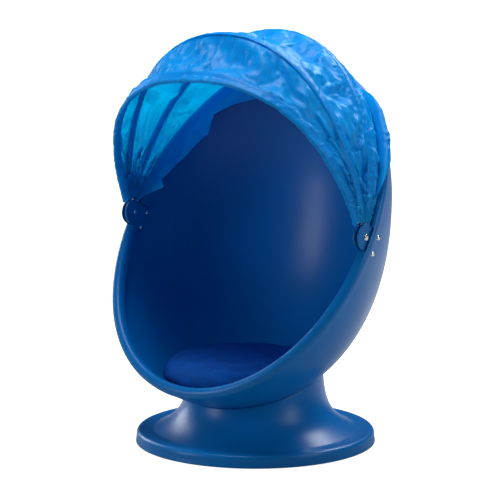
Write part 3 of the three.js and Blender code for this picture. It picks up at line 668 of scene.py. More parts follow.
def nylon(name, color, through):
    """Thin bright nylon that lets light through: crinkled, with a fine plain weave."""
    material, tree, shader, place = new_material(name, color, 0.36, IOR=1.5, Specular_IOR_Level=0.25)
    crinkled = bump_node(tree, noise_node(tree, place, 70, 8, 0.62, 0.7), 0.18, depth=0.002)
    weave = math_node(tree, "MULTIPLY", wave_node(tree, place, 900, "X"), wave_node(tree, place, 900, "Z"))
    set_inputs(tree, shader, Base_Color=mottle(tree, place, color, (14, 6, 0.6), 0.86, 1.12, lift=0.004),
               Normal=bump_node(tree, weave, 0.08, depth=0.0003, Normal=crinkled))
    back = add_node(tree, "BsdfTranslucent", Color=(*through, 1), Normal=crinkled)
    both = add_node(tree, "MixShader", Fac=0.53)
    tree.links.new(shader.outputs["BSDF"], both.inputs[1])
    tree.links.new(back.outputs["BSDF"], both.inputs[2])
    tree.links.new(both.outputs["Shader"], tree.nodes["Material Output"].inputs["Surface"])
    return material


def woven(name, color):
    """Matt cushion fabric with a visible cross weave and a little lint."""
    sheen = (*[min(1, c * 2) for c in color], 1)
    material, tree, shader, place = new_material(name, color, 0.88, Sheen_Weight=0.1, Sheen_Roughness=0.5,
                                                 Sheen_Tint=sheen, Specular_IOR_Level=0.15)
    weave = math_node(tree, "ADD", wave_node(tree, place, 330, "X"), wave_node(tree, place, 330, "Y"))
    thread = bump_node(tree, weave, 0.35, depth=0.0006)
    lint = noise_node(tree, place, 500, 4)
    set_inputs(tree, shader, Base_Color=mottle(tree, place, color, (40, 6, 0.65), 0.8, 1.25),
               Normal=bump_node(tree, lint, 0.2, depth=0.0005, Normal=thread))
    return material


def rubber(name, color):
    material, tree, shader, place = new_material(name, color, 0.85)
    cells = add_node(tree, "TexVoronoi", Vector=place, Scale=260).outputs["Distance"]
    set_inputs(tree, shader, Normal=bump_node(tree, cells, 0.5, depth=0.0008))
    return material


# Cushion: a round crowned pad that rests in the bowl

def cushion_surface(angle, level):
    """Radius and height: level runs from 0 at the middle of the top, round the edge, to 1 underneath."""
    radius = CUSHION_RADIUS * (1 + 0.004 * math.sin(3 * angle + 0.6) + 0.003 * math.sin(7 * angle + 2.1))
    if level < CUSHION_FLAT:
        t = level / CUSHION_FLAT
        return radius * (1 - CUSHION_EDGE) * t, CUSHION_TOP - CUSHION_CROWN * t * t
    turn = (level - CUSHION_FLAT) / (1 - CUSHION_FLAT) * CUSHION_TURN
    r = radius * (1 - CUSHION_EDGE) + radius * CUSHION_EDGE * math.sin(turn)
    return r, CUSHION_TOP - CUSHION_CROWN - CUSHION_ROUND * (1 - math.cos(turn))


def bowl_floor(x, y):
    """Height at which the cushion rests on the bowl."""
    def in_bowl(z):
        return egg_field(np.stack([x, y, z], axis=-1), CUSHION_REST) <= 0
    return turning_point(in_bowl, *BOWL_FLOOR, np.shape(x))


def make_cushion(material):
    turns = np.linspace(0, 2 * math.pi, 120, endpoint=False)
    levels = np.maximum(np.linspace(0, 1, 46), 0.004)
    grid = np.zeros((len(turns), len(levels), 3))
    for i, angle in enumerate(turns):
        for j, level in enumerate(levels):
            r, z = cushion_surface(angle, level)
            grid[i, j] = (r * math.cos(angle), CUSHION_Y + r * math.sin(angle), z)
    bottom = []
    for share in UNDERSIDE_RINGS:
        r = CUSHION_RADIUS * share
        x, y = r * np.cos(turns), CUSHION_Y + r * np.sin(turns)
        bottom.append(np.stack([x, y, bowl_floor(x, y)], axis=1))
    grid = np.concatenate([grid, np.stack(bottom, axis=1)], axis=1)
    grid[..., 2] = np.maximum(grid[..., 2], bowl_floor(grid[..., 0], grid[..., 1]))
    cushion = ring_piece("seat_cushion", grid, material)
    face_outwards(cushion)
    puff(cushion)
    settle(cushion, "seat_unit", "cushion_fabric", "cushion_cover", "cushion_foam")


def puff(obj):
    """Swells the pad a little with a short cloth simulation, then sets it back inside the bowl."""
    remesh = obj.modifiers.new("remesh", "REMESH")
    remesh.mode = "VOXEL"
    remesh.voxel_size = PUFF_VOXEL
    apply_modifiers(obj)
    start, end = simulate_cloth(obj, PUFF_FRAMES, 0, {
        "quality": 5, "mass": 0.2, "tension_stiffness": 12, "compression_stiffness": 12,
        "bending_stiffness": 0.4, "use_pressure": True, "uniform_pressure_force": 3.0})
    length = np.linalg.norm(end - start, axis=1, keepdims=True)
    placed = start + (end - start) * np.minimum(1, PUFF_LIMIT / np.maximum(length, 1e-9))
    placed[:, 2] = np.maximum(placed[:, 2], bowl_floor(placed[:, 0], placed[:, 1]))
    obj.data.vertices.foreach_set("co", placed.astype(np.float32).ravel())
    obj.data.update()
    obj.data.shade_smooth()


# Hinges

def wall_x(y, z, offset):
    """Where the egg's side is, grown by an offset."""
    return float(turning_point(lambda x: egg_field(np.array([x, y, z]), offset) > 0, 0.0, LONGEST_RAY))


def bracket_outline(margin):
    radius = DISC_RADIUS + margin
    pad = BRACKET_PAD + margin
    (upper_y, upper_z), (lower_y, lower_z) = SCREWS
    corners = [(upper_y + pad * 0.5, upper_z + pad), (upper_y + pad, upper_z - pad * 0.3),
               (lower_y + pad, lower_z - pad * 0.3), (lower_y, lower_z - pad)]
    arc = [(HINGE[1] + radius * math.cos(t), HINGE[2] + radius * math.sin(t))
           for t in np.linspace(math.radians(-78), math.radians(-282), 40)]
    return corners + arc


def make_hinges(blue, steel):
    for hand, side in SIDES:
        disc = lathe(f"outer_disc_{hand}", bent(DISC, 0.45, 5), side, blue, 72)
        make_bracket(hand, side, blue)
        rivet = lathe(f"rivet_{hand}", bent(RIVET, 0.35, 3), side, steel, 40)
        for piece in (disc, rivet):
            face_outwards(piece)
            sharpen(piece, 50)
        settle(disc, "seat_unit", "shell_blue", f"hinge_disc_{hand}")
        settle(rivet, "seat_unit", "bright_steel", f"hinge_rivet_{hand}")
        make_screws(hand, side, steel)


def make_bracket(hand, side, blue):
    """A plate with a rounded rim at the front and an ear on two feet behind."""
    block = plate(f"hinge_plate_{hand}", *BRACKET_X, bracket_outline(0), side, blue)
    bevel = block.modifiers.new("bevel", "BEVEL")
    bevel.width = BRACKET_ROUND
    bevel.segments = 4
    bevel.limit_method = "ANGLE"
    bevel.angle_limit = math.radians(50)
    apply_modifiers(block)
    sharpen(block, 40)
    for number, (y, z) in enumerate(SCREWS):
        ends = (BRACKET_X[1] - HINGE_ROOM, wall_x(y, z, -SHELL_WALL - FOOT_SINK))
        foot = lathe(f"hinge_foot_{hand}_{number}", list(zip(FOOT_RADII, ends)), side, blue, 24, (0, y, z))
        settle(foot, "seat_unit", "shell_blue")
    settle(block, "seat_unit", "shell_blue", f"hinge_bracket_{hand}")


def make_screws(hand, side, steel):
    for place, (y, z) in zip(("upper", "lower"), SCREWS):
        wall = wall_x(y, z, 0.0)
        shank_end = wall + SCREW_PAST_WALL
        screw = [(r, BRACKET_X[0] - FOOT_SINK + x) for r, x in SCREW_HEAD]
        screw += [(SCREW_SHANK, shank_end), (AXIS, shank_end)]
        cap = [(r, wall + x) for r, x in CAP_NUT]
        head = lathe(f"screw_{hand}_{place}", bent(screw, 0.3, 3), side, steel, 32, (0, y, z))
        nut = lathe(f"cap_nut_{hand}_{place}", bent(cap, 0.4, 3), side, steel, 32, (0, y, z))
        for piece, kind in ((head, "screw"), (nut, "nut")):
            face_outwards(piece)
            settle(piece, "seat_unit", "bright_steel", f"bracket_{kind}_{hand}_{place}")


# Bows. Every point of the hood is at an angle over the front horizon and a place along a hoop.

def hoop(angle, turn):
    """Across and out of the hood's smooth surface: angle in radians, turn from 0 to pi."""
    reach, power, half = (np.interp(angle, BOW_ANGLE, values) for values in (BOW_REACH, BOW_POWER, BOW_HALF))
    c, s = np.cos(turn), np.sin(turn)
    across = -np.sign(c) * np.abs(c) ** (2 / power) * half
    return across, np.maximum(s, 0) ** (2 / power) * reach


def hoop_turn(angle, distance):
    """Where along a hoop it is at a distance from the hinge's axis."""
    reach = np.interp(angle, BOW_ANGLE, BOW_REACH)
    power = np.interp(angle, BOW_ANGLE, BOW_POWER)
    return np.arcsin((distance / reach) ** (power / 2))


def at_hinge(across, out, angle):
    return np.stack([across, HINGE[1] - out * np.cos(angle), HINGE[2] + out * np.sin(angle)], axis=-1)


def lifted(across, out, angle, lift):
    """Points lifted off the hood's smooth surface, away from the middle of its axis."""
    scale = 1 + lift / np.hypot(across, out)
    return at_hinge(across * scale, out * scale, angle)


def make_bows(steel):
    for k, node in enumerate(BOW_NODES):
        first = float(hoop_turn(BOW_ANGLE[k], WIRE_START))
        turns = np.linspace(first, math.pi - first, 150)
        path = at_hinge(*hoop(BOW_ANGLE[k], turns), BOW_ANGLE[k])
        wire = tube(f"bow_wire_{k + 1}", path, WIRE, steel, 10)
        settle(wire, node, "bright_steel", node)
        for hand, side in SIDES:
            make_blade(k, hand, side, steel)


def make_blade(k, hand, side, steel):
    """The flattened end of a bow: a flat eyelet round the rivet that runs out into the wire."""
    angle, x = BOW_ANGLE[k], BOW_HALF[k]
    flat = [(EYE_RADIUS * math.cos(t), EYE_RADIUS * math.sin(t))
            for t in np.linspace(math.radians(-248), math.radians(68), 28)]
    outline = [(HINGE[1] - b * math.cos(angle) + a * math.sin(angle),
                HINGE[2] + b * math.sin(angle) + a * math.cos(angle)) for a, b in flat + BLADE_TAIL]
    blade = plate(f"bow_blade_{k + 1}_{hand}", x - BLADE_HALF, x + BLADE_HALF, outline, side, steel, False)
    bore = [(EYE_HOLE, x - BORE_REACH), (EYE_HOLE, x + BORE_REACH)]
    boolean_cut(blade, [lathe("bore", bore, side, blank, 24)])
    settle(blade, BOW_NODES[k], "bright_steel")


def tube(name, path, radius, material, sides):
    tangent = unit(np.gradient(path, axis=0))
    normal = unit(np.cross(tangent, np.array([0.0, 0.3, 1.0])))
    other = np.cross(tangent, normal)
    grid = []
    for turn in 2 * math.pi * np.arange(sides) / sides:
        grid.append(path + radius * (normal * math.cos(turn) + other * math.sin(turn)))
    obj = ring_piece(name, np.array(grid), material)
    face_outwards(obj)
    return obj


# Hood cloth: a grid along each hoop and across from the first bow to the last, then the loose flap

def hoop_turns(angle, share):
    distance = np.interp(angle, [BOW_ANGLE[0], BOW_ANGLE[0] + START_ANGLE], CLOTH_START)
    first = hoop_turn(angle, distance)
    eased = share - 0.05 * np.sin(4 * math.pi * share) / (4 * math.pi)
    return first + eased * (math.pi - 2 * first)


def on_bow(bow, share):
    return hoop(BOW_ANGLE[bow], hoop_turns(BOW_ANGLE[bow], share))


def cuff_share(bow):
    """The share along a bow where the cuff at its end begins."""
    share = np.linspace(0, 0.25, 200)
    _, out = on_bow(bow, share)
    return float(np.interp(CUFF - CUFF_OVERLAP, out, share))


def strip_angle(bow, out, gap):
    """How far a sewn channel reaches round from its bow, as an angle at each place along it."""
    width = HEM_BEHIND if bow == 0 else STRIP
    return np.minimum(width / np.maximum(out, NEAR_AXIS), 0.3 * gap)


def cloth_rows():
    """For each row across the hood: gore, part of it (0 strip, 1 between, 2 strip) and share of that part."""
    rows = []
    for k, between in enumerate(GORE_ROWS):
        for part, count in enumerate((STRIP_ROWS, between, STRIP_ROWS)):
            rows += [(k, part, j / count) for j in range(count)]
    rows.append((2, 2, 1.0))
    return rows


def cloth_grid(rows):
    """Points, the share of the way across each gore, and the distance from the nearest sewn edge."""
    share = np.linspace(0, 1, ALONG)
    grid = np.zeros((ALONG, len(rows), 3))
    between = np.zeros((ALONG, len(rows)))
    edge = np.zeros((ALONG, len(rows)))
    for j, (k, part, t) in enumerate(rows):
        low, gap = BOW_ANGLE[k], BOW_ANGLE[k + 1] - BOW_ANGLE[k]
        rough = low + gap * (part + t) / 3
        _, out = hoop(rough, hoop_turns(rough, share))
        first = strip_angle(k, out, gap)
        last = strip_angle(k + 1, out, gap)
        if part == 0:
            angle = low + first * t
        elif part == 1:
            angle = low + first + (gap - first - last) * t
            between[:, j] = t
            edge[:, j] = (gap - first - last) * min(t, 1 - t) * out
        else:
            angle = low + gap - last * (1 - t)
            between[:, j] = 1
        turns = hoop_turns(angle, share)
        across, out = hoop(angle, turns)
        middle = 4 * between[:, j] * (1 - between[:, j]) * (part == 1)
        uneven = 0.75 + 0.6 * noise(share * 6, k, 0)
        sag = middle * (out * (1 - math.cos(gap / 2)) + SLACK[k] * np.sin(turns) ** 1.5 * uneven)
        grid[:, j] = lifted(across, out, angle, SHEET_LIFT - sag)
    return grid, between, edge


def flap_grid(edge):
    """The loose flap behind the last bow: over the lip, then hanging inside the shell to a cornered edge."""
    grid = np.zeros((ALONG, FLAP_ROWS + 1, 3))
    grid[:, 0] = edge
    share = np.linspace(0, 1, ALONG)
    turns = hoop_turns(BOW_ANGLE[3], share)
    across, out = hoop(BOW_ANGLE[3], turns)
    full = np.sin(turns)
    depth = np.interp(share, *zip(*FLAP_EDGE))
    ragged = 1 + 0.04 * noise(share * 14, 0, 3)
    for j in range(1, FLAP_ROWS + 1):
        t = j / FLAP_ROWS
        width = depth * t * ragged
        below = np.clip((width - FLAP_OVER_LIP) / FLAP_INSIDE, 0, 1)
        hang = FLAP_HANG * below * full
        wave = FLAP_WAVE * below * np.sin(share * 2 * math.pi * 7 + 1.0) * full
        settled = -FLAP_SETTLE * min(1, 4 * t)
        grid[:, j] = lifted(across, out, BOW_ANGLE[3] + hang + wave + settled, -(FLAP_LIFT + width))
    loose = np.clip(np.linspace(0, 1, FLAP_ROWS + 1) * 2.4 - 0.8, 0, 1)[None, :] * full[:, None]
    facet = sum(ridged(noise_in(grid / size + shift)) * height for size, shift, height in FLAP_FACETS)
    return grid - normals_of(grid) * (facet * loose)[..., None]


def normals_of(grid):
    return unit(np.cross(np.gradient(grid, axis=0), np.gradient(grid, axis=1)))


def lengths_along(grid):
    """Length along each row of cloth, and the distance from its nearer end."""
    length = run_lengths(grid)
    return length, np.minimum(length, length[-1:] - length)


def first_folds(grid, between, gore):
    """Starting folds for the drape: gathers fanning out from the hinges and slack across each gore."""
    length, near = lengths_along(grid)
    left = (length < length[-1:] / 2).astype(float)
    free = np.clip(4 * between * (1 - between) * 2.2, 0, 1)
    warp = noise(near / GATHER_WANDER, gore * 4 + between * 2, left * 9)
    phase = 2 * math.pi * GATHERS[gore] * between + 1.5 * warp + 2.1 * gore + 1.1 * left
    gather = np.sin(phase) * GATHER[1] * np.exp(-near / GATHER[0]) * (1 - np.exp(-near / HINGE_FADE))
    swell = noise(length / SWELL[0], between * 1.6 + gore * 3, gore) * SWELL[1]
    cross = noise(length / CROSS[0] + between * 1.5, between * 0.9 + gore * 5, gore + 7) * CROSS[1]
    fade = 1 - np.exp(-near / SWELL_FADE)
    return grid + normals_of(grid) * ((gather + (swell + cross) * fade) * free)[..., None]


def drape(grid, held):
    """Cloth simulation of the whole sheet, held along its sewn channels and at its ends."""
    obj = piece_of("drape", grid.reshape(-1, 3), grid_faces(*grid.shape[:2]).tolist(), blank)
    group = obj.vertex_groups.new(name="held")
    group.add([int(i) for i in np.nonzero(held.reshape(-1))[0]], 1.0, "REPLACE")
    _, end = simulate_cloth(obj, DRAPE_FRAMES, 0.25, {
        "quality": 6, "mass": 0.10, "tension_stiffness": 18, "compression_stiffness": 18,
        "shear_stiffness": 6, "bending_stiffness": 0.06, "tension_damping": 6, "compression_damping": 6,
        "air_damping": 2, "shrink_min": -0.065, "vertex_group_mass": "held"})
    bpy.data.objects.remove(obj)
    move = end.reshape(grid.shape) - grid
    normal = normals_of(grid)
    push = np.sum(move * normal, axis=2, keepdims=True)
    slide = move - push * normal
    size = np.linalg.norm(slide, axis=2, keepdims=True)
    slide = slide * np.minimum(1, DRAPE_SLIDE / np.maximum(size, 1e-9))
    return grid + np.clip(push, *DRAPE_LIMITS) * normal + slide


def creases(length, across):
    """Long straight creases with flat cloth between them, in several directions and uneven in depth."""
    total = np.zeros_like(length)
    for number, (turn, pitch, height) in enumerate(CREASES):
        seed = 3.7 * number
        bend = noise(length / CREASE_BEND, across / CREASE_BEND, seed + 50) * 0.6
        strength = np.clip(0.35 + 1.3 * noise(length / CREASE_PATCH[0], across / CREASE_PATCH[1], seed), 0, 1)
        wave = (length * math.cos(turn) + across * math.sin(turn)) / pitch + bend
        total += height * strength * (np.abs(2 * (wave - np.round(wave))) - 0.5)
    return total


def crinkle(grid, between, edge, gore):
    """Puckers beside the sewn lines and fine creases over the open cloth."""
    length, near = lengths_along(grid)
    free = np.clip(4 * between * (1 - between) * 3, 0, 1)
    beside = np.exp(-edge / TUCK_REACH) * (between > 0) * (between < 1)
    tuck = ridged(noise(length / TUCK[0] + gore * 11, edge / TUCK_SLANT, gore + (between > 0.5) * 5))
    strength = 0.6 + 0.6 * noise(length / TUCK_PATCH, gore * 3, 0)
    fine = ridged(noise(length / FINE[0], edge / FINE[0] + between * 2, gore * 7))
    finer = ridged(noise(length / FINER[0] + 3, edge / FINER[0], gore * 5 + 40))
    push = tuck * beside * strength * TUCK[1] * (1 - np.exp(-near / HINGE_FADE))
    push += free * (fine * FINE[1] + finer * FINER[1])
    push += free * (1 - np.exp(-near / CREASE_FADE)) * creases(length, run_lengths(grid, 1))
    return grid + normals_of(grid) * push[..., None]


# Pieces of cloth

def two_faces(grid, drop=0.0):
    """The outer and inner face of a cloth and the normals of both; drop thickens it to the inside."""
    normal = normals_of(grid)
    inner = grid - normal * (CLOTH / 2 + np.asarray(drop))[..., None]
    return grid + normal * CLOTH / 2, inner, normal, -normals_of(inner)


def sheet_piece(name, faces_of, material):
    """A closed thin sheet between two grids of points, shaded with their own normals."""
    nu, nv = faces_of[0].shape[:2]
    outer, inner, normal, inner_normal = (values.reshape(-1, 3) for values in faces_of)
    count = nu * nv
    front = grid_faces(nu, nv)
    at = np.arange(count).reshape(nu, nv)
    rim = np.concatenate([at[0], at[1:, -1], at[-1, -2::-1], at[-2:0:-1, 0]]).tolist()
    faces = front.tolist() + (front[:, [0, 3, 2, 1]] + count).tolist()
    faces += [(p, q, q + count, p + count) for p, q in zip(rim, rim[1:] + rim[:1])]
    obj = piece_of(name, np.concatenate([outer, inner]), faces, material)
    facing = np.concatenate([normal, inner_normal])
    obj.data.normals_split_custom_set_from_vertices([tuple(n) for n in facing])
    return obj


def declare_sheet(obj, grid, held, *rests_on):
    """Works out the sheet's flat area, as measured on its finished cloth; nothing uses it."""
    a = np.cross(grid[1:, :-1] - grid[:-1, :-1], grid[:-1, 1:] - grid[:-1, :-1])
    b = np.cross(grid[:-1, 1:] - grid[1:, 1:], grid[1:, :-1] - grid[1:, 1:])
    area = float((np.linalg.norm(a, axis=2).sum() + np.linalg.norm(b, axis=2).sum()) / 2)
    length, width = (float(run_lengths(grid, axis).max()) for axis in (0, 1))
    area = min(area, 0.999 * width * length)


def follow_bows(obj):
    """Bakes the piece's placement into its points."""
    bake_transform(obj)


def add_band(name, bow, profile_at, material, held, start, pucker):
    """A sewn band along a bow: profile_at(length, distance from an end) gives (behind, lift) pairs."""
    across, out = on_bow(bow, np.linspace(start, 1 - start, 2 * ALONG))
    length = run_lengths(np.stack([across, out], axis=-1))
    grid = []
    for i in range(len(length)):
        behind, lift = np.array(profile_at(length[i], min(length[i], length[-1] - length[i]))).T
        grid.append(lifted(across[i], out[i], BOW_ANGLE[bow] + behind / max(out[i], NEAR_AXIS), lift))
    grid = np.array(grid)
    slant = np.linspace(0, 2.2, grid.shape[1])[None, :]
    ripple = ridged(noise(length[:, None] / BAND_RIPPLE + slant, slant * 0.7, bow))
    swell = noise(length[:, None] / BAND_SWELL + slant, slant, 5)
    grid = grid + normals_of(grid) * (pucker * (ripple + 0.8 * swell))[..., None]
    obj = sheet_piece(name, two_faces(grid), material)
    settle(obj, BOW_NODES[bow], "hood_fabric")
    declare_sheet(obj, grid, held, f"bow_wire_{bow + 1}")


def add_fold(material):
    """Cloth behind the last bow on the right, pulled out over the lip in pleats that lie on the shell."""
    share = np.linspace(FOLD_WIDEN[0], FOLD_END[1], 240)
    first = lifted(*on_bow(3, share), BOW_ANGLE[3], FOLD_LIFT)
    apart = first - EGG_CENTRE
    place = np.arctan2(apart @ OPENING_UP, apart[:, 0])
    corner = lip_point(place, LIP_FRONT + FOLD_CORNER, LIP_PROUD + FOLD_CORNER)
    last = lip_point(place, LIP_FRONT - FOLD_DEPTH, LIP_PROUD + FOLD_LIE)
    pull = 2 * corner - (first + last) / 2
    ragged = 1 + 0.10 * noise(share * 60, share, share)
    reach = smooth_step(share, *FOLD_WIDEN) * (1 - 0.5 * smooth_step(share, *FOLD_NARROW))
    reach = reach * (1 - smooth_step(share, *FOLD_END)) * ragged
    away = unit(apart)
    grid = np.zeros((len(share), 15, 3))
    for j, level in enumerate(np.linspace(0.01, 1, 15)):
        t = (level * reach)[:, None]
        pleat = ridged(noise(share * 66 + 0.5 * level, level * 0.5, 9))
        rise = FOLD_PLEAT * (1 + pleat) * math.sin(math.pi * min(level * 1.1, 1)) * reach
        grid[:, j] = (1 - t) ** 2 * first + 2 * t * (1 - t) * pull + t ** 2 * last + away * rise[:, None]
    obj = sheet_piece("hood_flap_fold", two_faces(grid), material)
    declare_sheet(obj, grid, "hung", "bow_wire_4", "shell")
    settle(obj, "hood_bow_4", "hood_fabric")


def bell(value, middle, width):
    return math.exp(-((value - middle) / width) ** 2)


def hem_profile(length, near):
    """The front hem: a puffed sleeve round the first bow, which hangs most over the left shoulder."""
    droop = bell(length / HEM_LENGTH, *HEM_DROOP_SHARE)
    lean = bell(length / HEM_LENGTH, *HEM_LEAN_SHARE)
    shift = HEM_DROOP[0] * droop - HEM_LEAN * lean + HEM_LEAN * math.exp(-near / HEM_LEAN_REACH)
    hang = HEM_DROOP[1] * droop
    ruffle = noise_line(length, HEM_RUFFLE[0], 5)
    pleat = noise_line(length, HEM_PLEAT[0], 9)
    puff = 1 + 0.35 * noise_line(length, HEM_PUFF, 1)
    outside, inside = (sides[0] * puff + sides[1] * ruffle + sides[2] * pleat
                       for sides in (HEM_OUTSIDE, HEM_INSIDE))
    behind = HEM_BEHIND * min(1.0, 0.52 + near / BAND_GROWTH)
    nose = HEM_ROLL - (HEM_NOSE + shift)
    points = []
    for share in np.linspace(0, 1, 11):
        w = behind - (behind - nose) * share
        belly = math.sin(math.pi * min(1.0, share * 0.75))
        groove = bell(w, *HEM_GROOVE[:2]) * HEM_GROOVE[2]
        points.append((w, SHEET_LIFT + HEM_RISE + outside * belly - groove - hang * share ** 2))
    for turn in np.linspace(math.radians(72), math.radians(-78), 9):
        radius = HEM_ROLL + HEM_RUFFLE[1] * ruffle
        w = nose - radius * math.cos(turn) + HEM_PLEAT[1] * pleat
        points.append((w, radius * math.sin(turn) - hang))
    for share in np.linspace(0.05, 1, 12):
        depth = HEM_ROLL + inside * math.sin(math.pi * share) + hang * (1 - share) ** 2
        rise = (INSIDE + HEM_ROLL) * smooth_step(share, 0.62, 1.0)
        points.append((nose + (behind - nose) * share, rise - depth))
    return points


def channel_profile(bow):
    """The inner side of a sewn channel, which the bow pushes inwards; the last one hangs down as a tail."""
    def profile(length, near):
        reach = min(1.0, 0.22 + near / BAND_GROWTH)
        ruffle = CHANNEL_RUFFLE[1] * noise_line(length, CHANNEL_RUFFLE[0], 11 + bow)
        points = []
        for share in np.linspace(-1, 1, 15):
            hump = math.cos(share * math.pi / 2) ** 0.8
            if bow == 3 and share > 0:
                w = TAIL_FRONT - TAIL_LEAN * (1 - share)
                h = -HEM_ROLL - CHANNEL_TAIL * reach * share - ruffle * (1 - share)
            else:
                w = CHANNEL_HALF[bow] * reach * share - (CHANNEL_TUCK * hump if bow == 3 else 0)
                h = INSIDE - (CHANNEL_DEPTH + ruffle) * hump
            points.append((w, h))
        return points
    return profile


def tape_profile(bow):
    """The ruffled outer face of a sewn channel, seen as a raised band over its bow."""
    def profile(length, near):
        half = TAPE_HALF * min(1.0, 0.30 + near / BAND_GROWTH)
        rise = TAPE_CROWN + TAPE_RUFFLE[1] * noise_line(length, TAPE_RUFFLE[0], 21 + bow)
        points = []
        for share in np.linspace(-1, 1, 11):
            crown = math.cos(share * math.pi / 2) ** 0.5 if abs(share) < 1 else 0
            points.append((half * share, SHEET_LIFT + TAPE_LIFT + rise * crown))
        return points
    return profile


def stitch_line(name, path, normal, material, body):
    """Thread along a path: one short rounded stitch after another, set into the cloth."""
    length = run_lengths(path)
    sides = STITCH_SIDES
    turns = [(s, (s + 1) % sides) for s in range(sides)]
    stitch = [[r + s, r + n, r + sides + n, r + sides + s]
              for r in range(0, 3 * sides, sides) for s, n in turns]
    stitch += [list(reversed(range(sides))), list(range(3 * sides, 4 * sides))]
    verts, faces = [], []
    for middle in np.arange(STITCH_PITCH, length[-1] - STITCH_PITCH, STITCH_PITCH):
        rings = []
        for shift, radius in ((-0.40, 0.45), (-0.22, 1.0), (0.22, 1.0), (0.40, 0.45)):
            place = middle + shift * STITCH_PITCH * 0.85
            point, up = (np.array([np.interp(place, length, values[:, a]) for a in range(3)])
                         for values in (path, normal))
            lift = STITCH_RADIUS * 0.35 - (STITCH_SINK if radius < 1 else 0)
            rings.append((point + up * lift, radius * STITCH_RADIUS, up))
        run = unit(rings[-1][0] - rings[0][0])
        faces += [[len(verts) + corner for corner in face] for face in stitch]
        for point, radius, up in rings:
            side = unit(np.cross(run, up))
            for turn in 2 * math.pi * np.arange(sides) / sides:
                verts.append(point + radius * (side * math.cos(turn) + up * math.sin(turn)))
    settle(piece_of(name, verts, faces, material), body, "hood_fabric")


def add_gore(k, first, full, both, between, material):
    """The cloth between two bows, with a row of stitches along each of them."""
    last = first + 2 * STRIP_ROWS + GORE_ROWS[k]
    part = slice(first, last + 1)
    gore = sheet_piece(f"hood_panel_{k + 1}", [face[:, part] for face in both], material)
    declare_sheet(gore, full[:, part], "stretched", f"bow_wire_{k + 1}", f"bow_wire_{k + 2}")
    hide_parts(f"hood_gore_{k + 1}")
    share = between[:, part].copy()
    share[:, -1] = 1
    follow_bows(gore)
    normal = both[2]
    for bow, end, row in ((k, "back", first + STRIP_ROWS), (k + 1, "front", last - STRIP_ROWS)):
        lift = HEM_SEAM_LIFT if bow == 0 else CLOTH / 2
        path = full[3:-3, row] + normal[3:-3, row] * lift
        stitch_line(f"seam_{bow + 1}_{end}", path, normal[3:-3, row], material, BOW_NODES[bow])


def make_hood(material):
    rows = cloth_rows()
    gore, part, share = (np.array(values) for values in zip(*rows))
    grid, between, edge = cloth_grid(rows)
    _, near = lengths_along(grid)
    flap = flap_grid(grid[:, -1])
    grid = first_folds(grid, between, gore)
    open_rows = (part == 1) & (share > 0)
    grid = drape(grid, ~(open_rows & (near > DRAPE_HELD)))
    grid = crinkle(grid, between, edge, gore)
    flap[:, 0] = grid[:, -1]
    full = np.concatenate([grid, flap[:, 1:]], axis=1)
    reach = np.hypot(full[..., 1] - HINGE[1], full[..., 2] - HINGE[2])
    cuff = CUFF_DEPTH * (1 - smooth_step(reach, CUFF - CUFF_STEP, CUFF + CUFF_STEP))
    fade = np.concatenate([np.ones(len(rows)), np.linspace(1, 0.15, FLAP_ROWS + 1)[1:] ** 2])
    both = two_faces(full, cuff * fade)
    for k in range(3):
        add_gore(k, int(np.argmax(gore == k)), full, both, between, material)
    loose = slice(len(rows) - 1, full.shape[1])
    piece = sheet_piece("hood_flap", [face[:, loose] for face in both], material)
    declare_sheet(piece, full[:, loose], "hung", "bow_wire_4")
    settle(piece, "hood_bow_4", "hood_fabric", "hood_rear_flap")
    add_fold(material)
    add_band("hood_hem", 0, hem_profile, material, "folded", 0.0, HEM_PUCKER)
    for bow in (1, 2, 3):
        add_band(f"hood_channel_{bow + 1}", bow, channel_profile(bow), material, "stretched",
                 cuff_share(bow), CHANNEL_PUCKER)
        if bow < 3:
            add_band(f"hood_tape_{bow + 1}", bow, tape_profile(bow), material, "stretched",
                     TAPE_START, TAPE_PUCKER)


# Nodes carried over from the frame

def dress_nodes(looks):
    for row in frame["record"]["subparts"]:
        node = frame["nodes"][row["node"]]
        node.data.materials.clear()
        node.data.materials.append(looks[row["material_slot"]])


# Camera and stage

def add_camera():
    back = Vector((math.sin(VIEW_TURN) * math.cos(VIEW_RISE), -math.cos(VIEW_TURN) * math.cos(VIEW_RISE),
                   math.sin(VIEW_RISE)))
    right = Vector((math.cos(VIEW_TURN), math.sin(VIEW_TURN), 0))
    data = bpy.data.cameras.new("camera")
    data.sensor_width = SENSOR
    data.lens = VIEW_LENS
    camera = bpy.data.objects.new("camera", data)
    camera.location = right * VIEW_RIGHT + Vector((0, 0, VIEW_HEIGHT)) + back * VIEW_DISTANCE
    camera.rotation_euler = back.to_track_quat("Z", "Y").to_euler()
    scene.collection.objects.link(camera)
    scene.camera = camera


def area_light(name, place, width, height, power):
    data = bpy.data.lights.new(name, "AREA")
    data.shape = "RECTANGLE"
    data.size = width
    data.size_y = height
    data.energy = power
    light = bpy.data.objects.new(name, data)
    light.location = place
    light.rotation_euler = (Vector(place) - LIT_POINT).to_track_quat("Z", "Y").to_euler()
    scene.collection.objects.link(light)


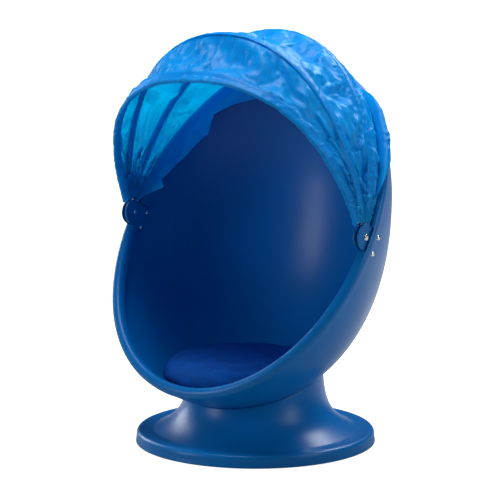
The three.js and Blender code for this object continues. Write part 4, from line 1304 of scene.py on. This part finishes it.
def make_floor():
    """A pale floor that runs out to white behind the chair."""
    floor, tree, shader, place = new_material("floor_white", (0.42, 0.42, 0.42), 0.9)
    split = add_node(tree, "SeparateXYZ", Vector=place)
    depth = math_node(tree, "MULTIPLY_ADD", split.outputs["X"], FLOOR_TURN, split.outputs["Y"])
    sweep = ramp_node(tree, depth, FLOOR_BACK, ((0, 0, 0), (1, 1, 1)))
    seen = add_node(tree, "LightPath").outputs["Is Camera Ray"]
    glow = math_node(tree, "MULTIPLY_ADD", seen, FLOOR_SEEN, math_node(tree, "MULTIPLY", sweep, FLOOR_SWEEP))
    set_inputs(tree, shader, Emission_Color=(1, 1, 1, 1), Emission_Strength=glow)
    corners = [(x * FLOOR_SIZE, y * FLOOR_SIZE, 0) for x, y in ((-1, -1), (1, -1), (1, 1), (-1, 1))]
    piece_of("floor", corners, [(0, 1, 2, 3)], floor, smooth=False)


def make_world():
    """White where the camera looks past the chair, and a dim room for everything else."""
    world = bpy.data.worlds.new("world")
    world.use_nodes = True
    tree = world.node_tree
    seen = add_node(tree, "LightPath").outputs["Is Camera Ray"]
    set_inputs(tree, tree.nodes["Background"], Color=(1, 1, 1, 1),
               Strength=math_node(tree, "MAXIMUM", seen, WORLD_ROOM))
    scene.world = world


blank = bpy.data.materials.new("blank")
add_camera()
make_floor()
make_world()
scene.view_settings.view_transform = "Standard"
for light_name, values in LIGHTS.items():
    area_light(light_name, *values)
looks = {
    "shell_blue": plastic("shell_blue", (0.0, 0.145, 0.47), 0.31),
    "hood_fabric": nylon("hood_fabric", (0.0, 0.37, 0.94), (0.0, 0.82, 1.0)),
    "cushion_fabric": woven("cushion_fabric", (0.0, 0.07, 0.36)),
    "foam": woven("foam", (0.70, 0.66, 0.55)),
    "bright_steel": metal("bright_steel", (0.80, 0.81, 0.83), 0.16),
    "plated_steel": metal("plated_steel", (0.55, 0.57, 0.60), 0.38),
    "dark_rubber": rubber("dark_rubber", (0.03, 0.03, 0.033)),
    "white_nylon": plastic("white_nylon", (0.80, 0.79, 0.74), 0.5),
}
dress_nodes(looks)
make_shell(looks["shell_blue"])
make_pedestal(looks["shell_blue"])
make_cushion(looks["cushion_fabric"])
make_hinges(looks["shell_blue"], looks["bright_steel"])
make_bows(looks["bright_steel"])
make_hood(looks["hood_fabric"])
bpy.data.materials.remove(blank)

bpy.context.view_layer.update()
